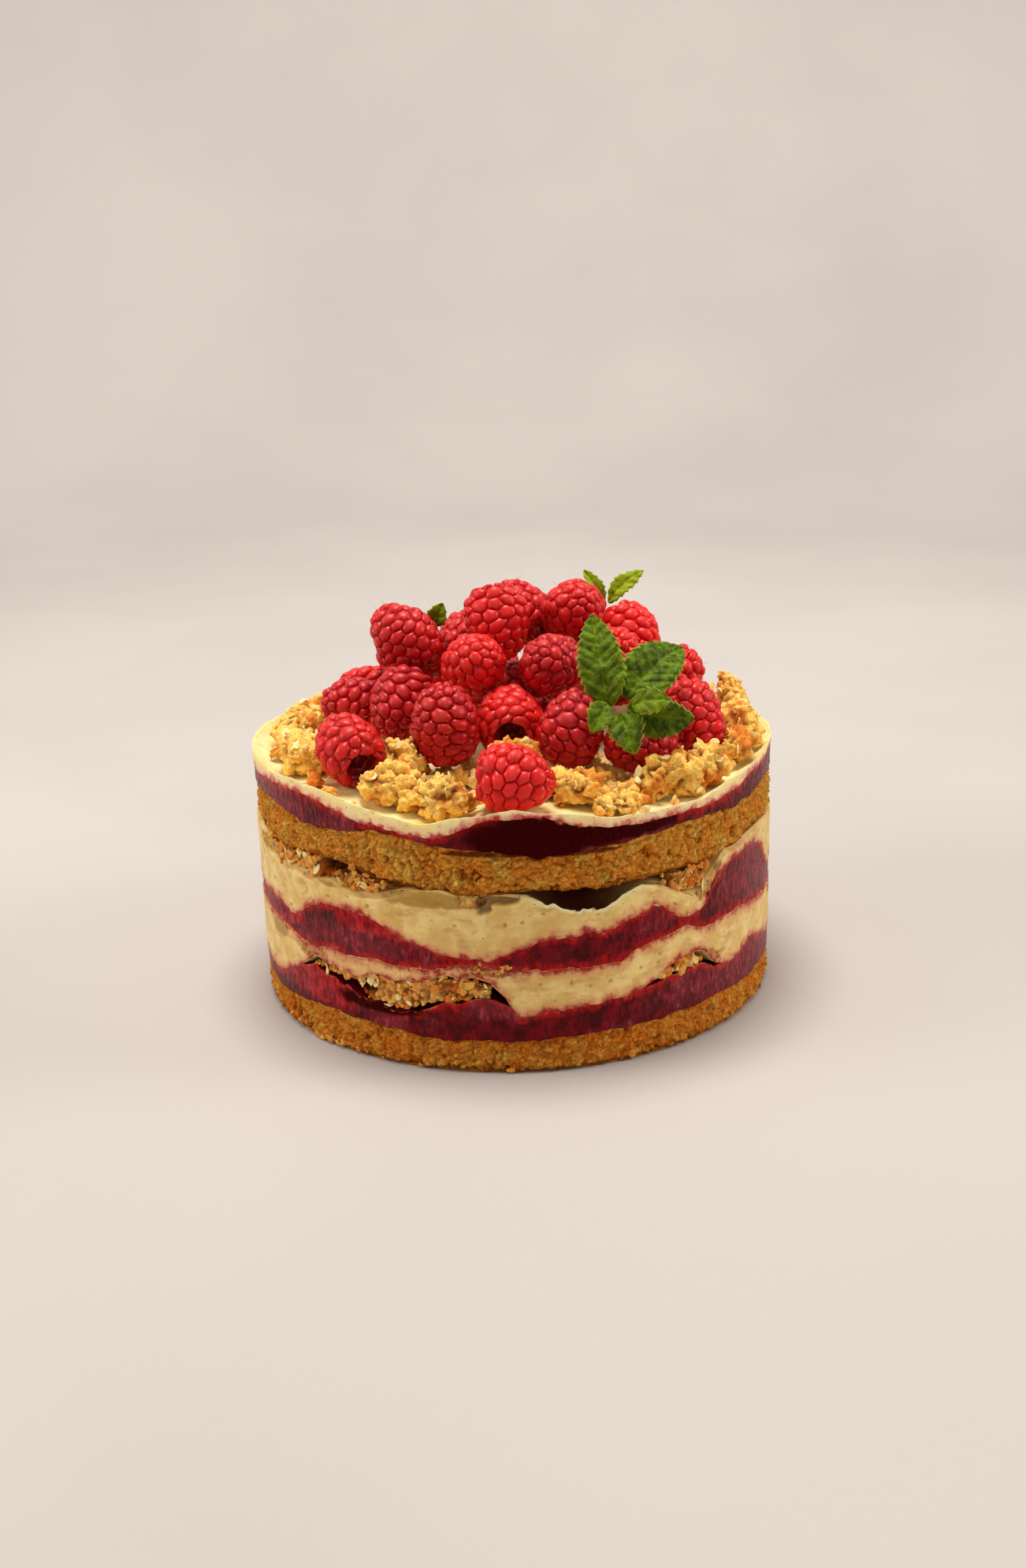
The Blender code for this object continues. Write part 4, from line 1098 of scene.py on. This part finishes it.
def gathered(parts):  # joins (points, faces, values) into one
    points, faces, values, start = [], [], {}, 0
    keys = sorted({key for part in parts for key in part[2]})
    for part, face, carried in parts:
        points.append(part)
        faces.append(np.asarray(face) + start)
        start += len(part)
        for key in keys:
            value = np.asarray(carried.get(key, 0.0), float)
            values.setdefault(key, []).append(np.broadcast_to(value, len(part)))
    return np.concatenate(points), faces, {key: np.concatenate(value) for key, value in values.items()}


def makeCrumble(node, order, pocket):
    chance = np.random.default_rng(700 + order)
    base, normals, quads = remeshed(node, crumbleLook["voxel"] * (0.9 if pocket else 1.0))
    size, out = crumbleLook["pocket" if pocket else "nugget"]
    knob, own = chunks(base, size, 11, 0.45)
    crumbly, ownSmall = chunks(base, crumbleLook["crumb"][0], 19, 0.45)
    folds = np.minimum(1, abs(rough(base, size * 0.8, 15, 2)) * 3)  # rounded ridges with sharp creases between
    height = out * (0.55 * knob * (0.5 + 0.9 * own) + 0.55 * folds ** 0.6 - 0.66)
    height = height + crumbleLook["crumb"][1] * (crumbly * (0.4 + ownSmall) - 0.5)
    height = height + 0.45 * rough(base, 1.8, 23, 2, 0.7)
    if pocket:
        dark = sum(patch(headingOf(base), base[:, 2], spot) for spot in crumbleLook["deep"])
        height = height - 0.4
    points = base + normals * height[:, None]
    if pocket:
        reach = fromAxis(points)
        inward = 1 - np.clip(dark, 0, 1) * crumbleLook["holeDepth"] / reach
        points[:, :2] *= np.minimum(inward, crumbleLook["pocketLimit"] / reach)[:, None]
    else:
        keepWithin(points, crumbleLook["ringLimit"])
    toast = ramp(rough(base, 7, 27, 2) + 0.5 * (own - 0.5) + 0.25 * rough(base, 1.5, 28, 2), 0.12, 0.5)
    # painted shade: darker in the low places and the sharp creases of the crumble
    cavity = np.clip(ramp(height, -0.15 * out, -0.75 * out) + 0.35 * ramp(folds, 0.5, 0.0), 0, 1)
    values = {"toast": np.clip(0.8 * toast + (0.35 if pocket else 0), 0, 1), "cavity": 0.9 * cavity}
    if pocket:
        values["coat"] = 0.4 * ramp(rough(base, 5, 29, 2), -0.1, 0.4)
        # painted shade in the holes
        values["deep"] = 0.9 * ramp(dark, 0.15, 0.7)
    parts = [(points, quads, values)]
    area = len(quads) * crumbleLook["voxel"] ** 2
    facingOut = np.nonzero((fromAxis(base) > 86) & (dark < 0.3) if pocket else normals[:, 2] > -0.25)[0]
    for _ in range(int(area * crumbleLook["flakes"])):
        k = chance.choice(facingOut)
        length = chance.uniform(2.6, 4.8)
        shape, faces = flakeMesh(chance, length, length * chance.uniform(0.55, 0.75), chance.uniform(0.35, 0.6))
        spot = points[k] + normals[k] * chance.uniform(-0.4, 0.5)
        shape = shape @ turned(chance, normals[k], 0.55).T + spot
        parts.append((shape, faces, {"flake": chance.uniform(0.3, 1.0), "toast": chance.uniform(0, 0.4)}))
    for _ in range(int(area * crumbleLook["crumbs"] * (3 if pocket else 1))):
        k = chance.choice(facingOut)
        shape, faces = crumbMesh(chance, 1.2 + 3.2 * chance.uniform() ** 2, 3)
        spot = points[k] + normals[k] * chance.uniform(0.0, 0.6)
        shape = shape @ turned(chance, normals[k], 2.0).T + spot
        parts.append((shape, faces, {"flake": 0 if pocket else chance.uniform(0, 0.6),
                                     "toast": chance.uniform(0.3, 1) if pocket else chance.uniform(0, 0.8) ** 2}))
    for shape, _, _ in parts[1:]:
        keepWithin(shape, crumbleLook["crumbLimit"])
    points, faces, values = gathered(parts)
    return newPiece(pieceName(node), points, faces, [finishes["crumble"]], [node], values)


looseLook = {
    "top": 110,              # crumbs that lie on the cream
    "side": 210,             # crumbs that cling to the side
    "limit": 89.9,           # how far out they may stand
    "zones": [               # where they cling: from and to angle, from and to height
        (-62, -46, 58, 63), (-37, -22, 59, 65), (-36, -8, 30, 35), (30, 45, 52, 60), (29, 40, 26, 30),
        (-75, -60, 60, 65), (-9, -2, 34, 37), (120, 170, 54, 60), (-38, -13, 25, 31), (-90, 90, 0.8, 2.2),
        (-60, -20, 0.8, 2.0),
    ],
    # the large ones on the cream: x, y, size and how toasted
    "big": [
        (-63, -50, 6.5, 0.9), (-58, -58, 5.0, 0.6), (-13, -70, 3.6, 0.4), (27, -80, 3.4, 0.7), (-5, -66, 3.2, 0.2),
        (50, -72, 4.0, 0.3), (40, -79, 3.0, 0.2), (-50, -66, 2.8, 0.3), (66, -46, 4.6, 0.2), (10, -80, 2.2, 0.5),
        (-24, -60, 8.5, 0.2), (-30, -66, 6.5, 0.4), (-17, -57, 7.0, 0.1), (-12, -64, 5.5, 0.3), (24, -61, 7.5, 0.2),
        (32, -64, 6.5, 0.4), (18, -66, 5.0, 0.2), (38, -60, 6.0, 0.1), (43, -65, 5.0, 0.5), (50, -58, 7.0, 0.2),
        (58, -60, 6.0, 0.4), (-45, -55, 6.0, 0.3), (-42, -62, 5.0, 0.5), (-66, -38, 6.0, 0.2), (62, -36, 7.0, 0.3),
        (70, -40, 5.5, 0.2), (72, -28, 6.5, 0.5), (66, -52, 4.5, 0.3), (-72, -30, 5.0, 0.4), (-22, -40, 7.5, 0.2),
        (-18, -48, 8.0, 0.3), (-28, -48, 8.5, 0.1), (-37, -50, 7.0, 0.4), (-12, -50, 7.0, 0.2), (26, -41, 8.0, 0.3),
        (22, -49, 8.5, 0.1), (31, -50, 9.0, 0.2), (10, -54, 7.0, 0.3), (40, -50, 7.5, 0.4), (30, -37, 8.5, 0.2),
        (34, -45, 8.5, 0.3), (28, -31, 7.5, 0.4), (-14, -36, 8.5, 0.3), (-12, -45, 8.0, 0.1), (-15, -28, 7.0, 0.4),
    ],
}


def makeLooseCrumbs():
    chance = np.random.default_rng(900)
    top = creamTop["points"]
    parts = []

    def settle(x, y, size, toast):
        shape, faces = crumbMesh(chance, size, 4 if size > 4.5 else 3 if size > 1.5 else 2)
        near = top[np.argmin((top[:, 0] - x) ** 2 + (top[:, 1] - y) ** 2)]
        shape = shape @ turned(chance, np.array([0, 0, 1.0]), 2.0).T + np.array([x, y, near[2] + size * 0.32])
        parts.append((shape, faces, {"toast": toast, "flake": chance.uniform(0, 0.6) * (1 - toast)}))

    for x, y, size, toast in looseLook["big"]:
        settle(x, y, size, toast)
    while len(parts) < looseLook["top"]:
        turn, radius = chance.uniform(-180, 180), chance.triangular(56, 76, 87)
        x, y = radius * math.sin(math.radians(turn)), -radius * math.cos(math.radians(turn))
        settle(x, y, chance.uniform(0.8, 2.4), chance.uniform(0, 0.9) ** 2)
    for _ in range(looseLook["side"]):
        zone = looseLook["zones"][chance.integers(len(looseLook["zones"]))]
        turn, level = math.radians(chance.uniform(*zone[:2])), chance.uniform(*zone[2:])
        size = 0.9 + 3.1 * chance.uniform() ** 2
        shape, faces = crumbMesh(chance, size, 3)
        radius = 89.6 - size * 0.3
        spot = np.array([radius * math.sin(turn), -radius * math.cos(turn), level])
        shape = shape @ turned(chance, np.array([0, 0, 1.0]), 2.0).T + spot
        keepWithin(shape, looseLook["limit"])
        toast, coat = chance.uniform(0.2, 0.9), chance.uniform(0, 0.5) * (level > 5)
        parts.append((shape, faces, {"toast": toast, "coat": coat}))
    points, faces, values = gathered(parts)
    newPiece("looseCrumbs", points, faces, [finishes["crumble"]], [], values)


makeLooseCrumbs()
for order, node in enumerate(crumbleList):
    makeCrumble(node, order, False)
for order, node in enumerate(pocketList):
    makeCrumble(node, 20 + order, True)
print("crumble made")


mintLook = {  # in mm
    "cell": 0.42,            # spacing of the points
    "thick": 0.4,
    "vein": 3.6, "tooth": 2.5,   # distances along the edge
    "quilt": 0.9,            # how far the leaf swells between its veins
    "curl": 0.9,
}
mintList = {  # base, tip, width, roll, and how young and yellow the leaf is
    "mint_front_tall": ((31, -47, 106.5), (27, -33, 134), 15, 0, 0.15),
    "mint_front_upper_right": ((37, -46, 109), (56.5, -31, 122), 18, -20, 0.1),
    "mint_front_lower_right": ((37, -51, 107.5), (58, -53, 104.5), 15, 25, 0.05),
    "mint_front_bottom": ((34.5, -54, 106), (38.5, -63, 96), 11, 0, 0.1),
    "mint_front_small": ((30, -53, 109), (25, -60, 102.5), 9, 0, 0.15),
    "mint_front_inner": ((38, -58.5, 110), (50, -60.5, 112), 9, -20, 0.3),
    "mint_back_left": ((33.5, 27, 125.5), (27.5, 27, 138), 7, 20, 0.75),
    "mint_back_right": ((36.5, 27, 125.5), (49, 28, 137), 7.5, -30, 0.8),
    "mint_left": ((-26, 8, 123.5), (-22.5, 7, 131.5), 7, 0, 0.35),
}


def makeLeaf(node, order):
    base, tip, width, roll, young = mintList[node]
    start, end = Vector(base), Vector(tip)
    way = (end - start).normalized()
    side = way.cross(Vector((0, -1, 0.35))).normalized()
    side.rotate(Matrix.Rotation(math.radians(roll), 3, way))
    face = side.cross(way)
    length = (end - start).length
    way, side, face, start = (np.array(value) for value in (way, side, face, start))
    solid = cornersOf(node) - start
    local = np.stack([solid @ way, solid @ side, solid @ face], axis=1)

    def bending(where):  # distances for a smooth sheet through the solid's corners
        gap = np.linalg.norm(where[:, None] - local[None, :, :2], axis=2) + 1e-6
        return gap ** 2 * np.log(gap)

    count = len(local)
    system = np.zeros((count + 3, count + 3))
    system[:count, :count] = bending(local[:, :2]) + 4.0 * np.eye(count)
    system[:count, count:] = np.column_stack([np.ones(count), local[:, :2]])
    system[count:, :count] = system[:count, count:].T
    weights = np.linalg.solve(system, np.concatenate([local[:, 2], np.zeros(3)]))

    rows = max(14, round(length / mintLook["cell"]))
    cols = 2 * max(5, round(width / 2 / mintLook["cell"])) + 1
    share, across = np.meshgrid(np.linspace(0, 1, rows), np.linspace(-1, 1, cols), indexing="ij")
    share, across = share.ravel(), across.ravel()
    half = width / 2 * np.maximum(0.09, np.sin(math.pi * share ** 0.76) ** 0.68)
    tooth = (share * round(length / mintLook["tooth"])) % 1.0
    half = half + 1.4 * (0.55 - tooth) * np.sin(math.pi * share) ** 0.5 * min(1, width / 10)
    where = np.stack([share * length, across * half], axis=1)
    sheet = np.concatenate([bending(where), np.ones((len(where), 1)), where], axis=1) @ weights
    phase = (share * round(length / mintLook["vein"]) - abs(across) * half / mintLook["vein"] * 0.75 + 0.3) % 1.0
    vein = np.maximum(ramp(abs(phase - 0.5), 0.40, 0.5), ramp(abs(across) * half, 0.55, 0.12))
    flatPlace = np.stack([where[:, 0], where[:, 1], np.zeros(len(where)) + order * 7.0], axis=1)
    cells = grains(flatPlace, 1.7, 51)[0]
    swell = mintLook["quilt"] * np.sin(math.pi * phase) ** 0.6 * ramp(abs(across), 0.0, 0.25)
    swell = swell * ramp(abs(across), 1.02, 0.85) + 0.8 * (0.6 - cells) * ramp(abs(across), 1.0, 0.8)
    swell = swell * min(1, width / 11) + mintLook["curl"] * waves(flatPlace, 4.0, order)
    flat = start + np.outer(where[:, 0], way) + np.outer(where[:, 1], side)
    thick = mintLook["thick"] / 2 * ramp(abs(across), 1.05, 0.8)
    front = flat + np.outer(sheet + swell + thick, face)
    back = flat + np.outer(sheet + swell - thick - 0.02, face)
    index = np.arange(rows * cols).reshape(rows, cols)
    a, b, c, d = (part.ravel() for part in (index[:-1, :-1], index[:-1, 1:], index[1:, 1:], index[1:, :-1]))
    top = np.stack([a, b, c, d], axis=1)
    rim = np.concatenate([index[0, :], index[1:, -1], index[-1, -2::-1], index[-2:0:-1, 0]])
    ahead = np.roll(rim, -1)
    total = rows * cols
    faces = [top, top[:, ::-1] + total, np.stack([ahead, rim, rim + total, ahead + total], axis=1)]
    values = {
        "vein": 0.4 * np.tile(vein, 2), "rim": 0.6 * np.tile(ramp(abs(across), 0.9, 1.0), 2),
        "young": np.concatenate([np.full(total, young), np.full(total, min(1.0, young + 0.35))]),
    }
    points = np.concatenate([front, back])
    over = max(0, points[:, 2].max() - (solid + start)[:, 2].max())
    points[:, 2] -= over * np.tile(share, 2)  # the leaf ends no higher than its solid
    return newPiece(pieceName(node), points, faces, [finishes["mint"]], [node], values)


for order, node in enumerate(mintList):
    makeLeaf(node, order)
print("mint made")


stageLook = {  # in metres
    "radius": 1.7, "flat": 1.0, "wall": 1.1, "sides": 96, "steps": 12,
    "drop": 0.0002,          # how far it lies under the base
    "low": (188, 182, 178), "high": (195, 189, 185), "scale": 2.0, "roughness": 0.65, "gloss": 0.2,
}


def makeStage():  # a round floor that curves up into a wall on every side
    profile = [(0.0, 0.0), (0.3, 0.0), (stageLook["flat"], 0.0)]
    bend = stageLook["radius"] - stageLook["flat"]
    for step in range(1, stageLook["steps"] + 1):
        turn = math.pi / 2 * step / stageLook["steps"]
        profile.append((stageLook["flat"] + bend * math.sin(turn), bend * (1 - math.cos(turn))))
    profile.append((stageLook["radius"], bend + stageLook["wall"]))
    sides, drop = stageLook["sides"], stageLook["drop"]
    points = [(0, 0, -drop)]
    for radius, height in profile[1:]:
        for k in range(sides):
            turn = fullTurn * k / sides
            points.append((radius * math.cos(turn), radius * math.sin(turn), height - drop))
    faces = [(0, 1 + k, 1 + (k + 1) % sides) for k in range(sides)]
    for ring in range(len(profile) - 2):
        for k in range(sides):
            a, b = 1 + ring * sides + k, 1 + ring * sides + (k + 1) % sides
            faces.append((a, a + sides, b + sides, b))
    mesh = bpy.data.meshes.new("stage")
    mesh.from_pydata(points, [], faces)
    mesh.shade_smooth()
    mesh.materials.append(plainFinish("stagePaint", stageLook))
    made = bpy.data.objects.new("stage", mesh)
    bpy.context.scene.collection.objects.link(made)


lightLook = {  # place, size in metres, strength, colour, and the point it looks at
    "overhead": ((-0.05, 0.05, 1.3), 0.6, 15.5, (1.0, 0.96, 0.90), (0, 0, 0.06)),
    "left": ((-1.2, -0.15, 0.65), 0.6, 6.0, (1.0, 0.96, 0.91), (0, 0, 0.06)),
    "right": ((1.2, -0.1, 0.65), 0.6, 6.4, (1.0, 0.96, 0.90), (0, 0, 0.06)),
    "front": ((0.2, -1.2, 0.6), 0.7, 0.8, (1.0, 0.96, 0.91), (0, 0, 0.06)),
    "backdrop": ((0, 0.7, 1.5), 1.0, 14.0, (1.0, 0.97, 0.92), (0, 1.7, 0.9)),
}
roomLook = {"colour": (0.84, 0.81, 0.77, 1.0), "strength": 0.32}


def makeLights():
    for name, (place, size, strength, colour, goal) in lightLook.items():
        lamp = bpy.data.lights.new(name, "AREA")
        lamp.shape = "DISK"
        lamp.size = size
        lamp.energy = strength
        lamp.color = colour
        made = bpy.data.objects.new(name, lamp)
        made.location = place
        made.rotation_euler = (Vector(goal) - Vector(place)).to_track_quat("-Z", "Y").to_euler()
        bpy.context.scene.collection.objects.link(made)
    world = bpy.data.worlds.new("room")
    world.use_nodes = True
    sky = world.node_tree.nodes["Background"].inputs
    sky["Color"].default_value, sky["Strength"].default_value = roomLook["colour"], roomLook["strength"]
    bpy.context.scene.world = world


cameraLook = {
    "lens": 38.26, "sensor": 36, "nearest": 0.01,
    "place": (0, -0.5623, 0.2430), "down": 17.35, "lean": -1.74,  # metres and degrees
}


def makeCamera():
    data = bpy.data.cameras.new("camera")
    data.lens = cameraLook["lens"]
    data.sensor_width = cameraLook["sensor"]
    data.clip_start = cameraLook["nearest"]
    made = bpy.data.objects.new("camera", data)
    made.matrix_world = (Matrix.Translation(cameraLook["place"])
                         @ Matrix.Rotation(math.radians(90 - cameraLook["down"]), 4, "X")
                         @ Matrix.Rotation(math.radians(cameraLook["lean"]), 4, "Z"))
    bpy.context.scene.collection.objects.link(made)
    bpy.context.scene.camera = made


makeStage()
makeLights()
makeCamera()
bpy.context.scene.view_settings.view_transform = "Standard"
print("floor, light and camera made")
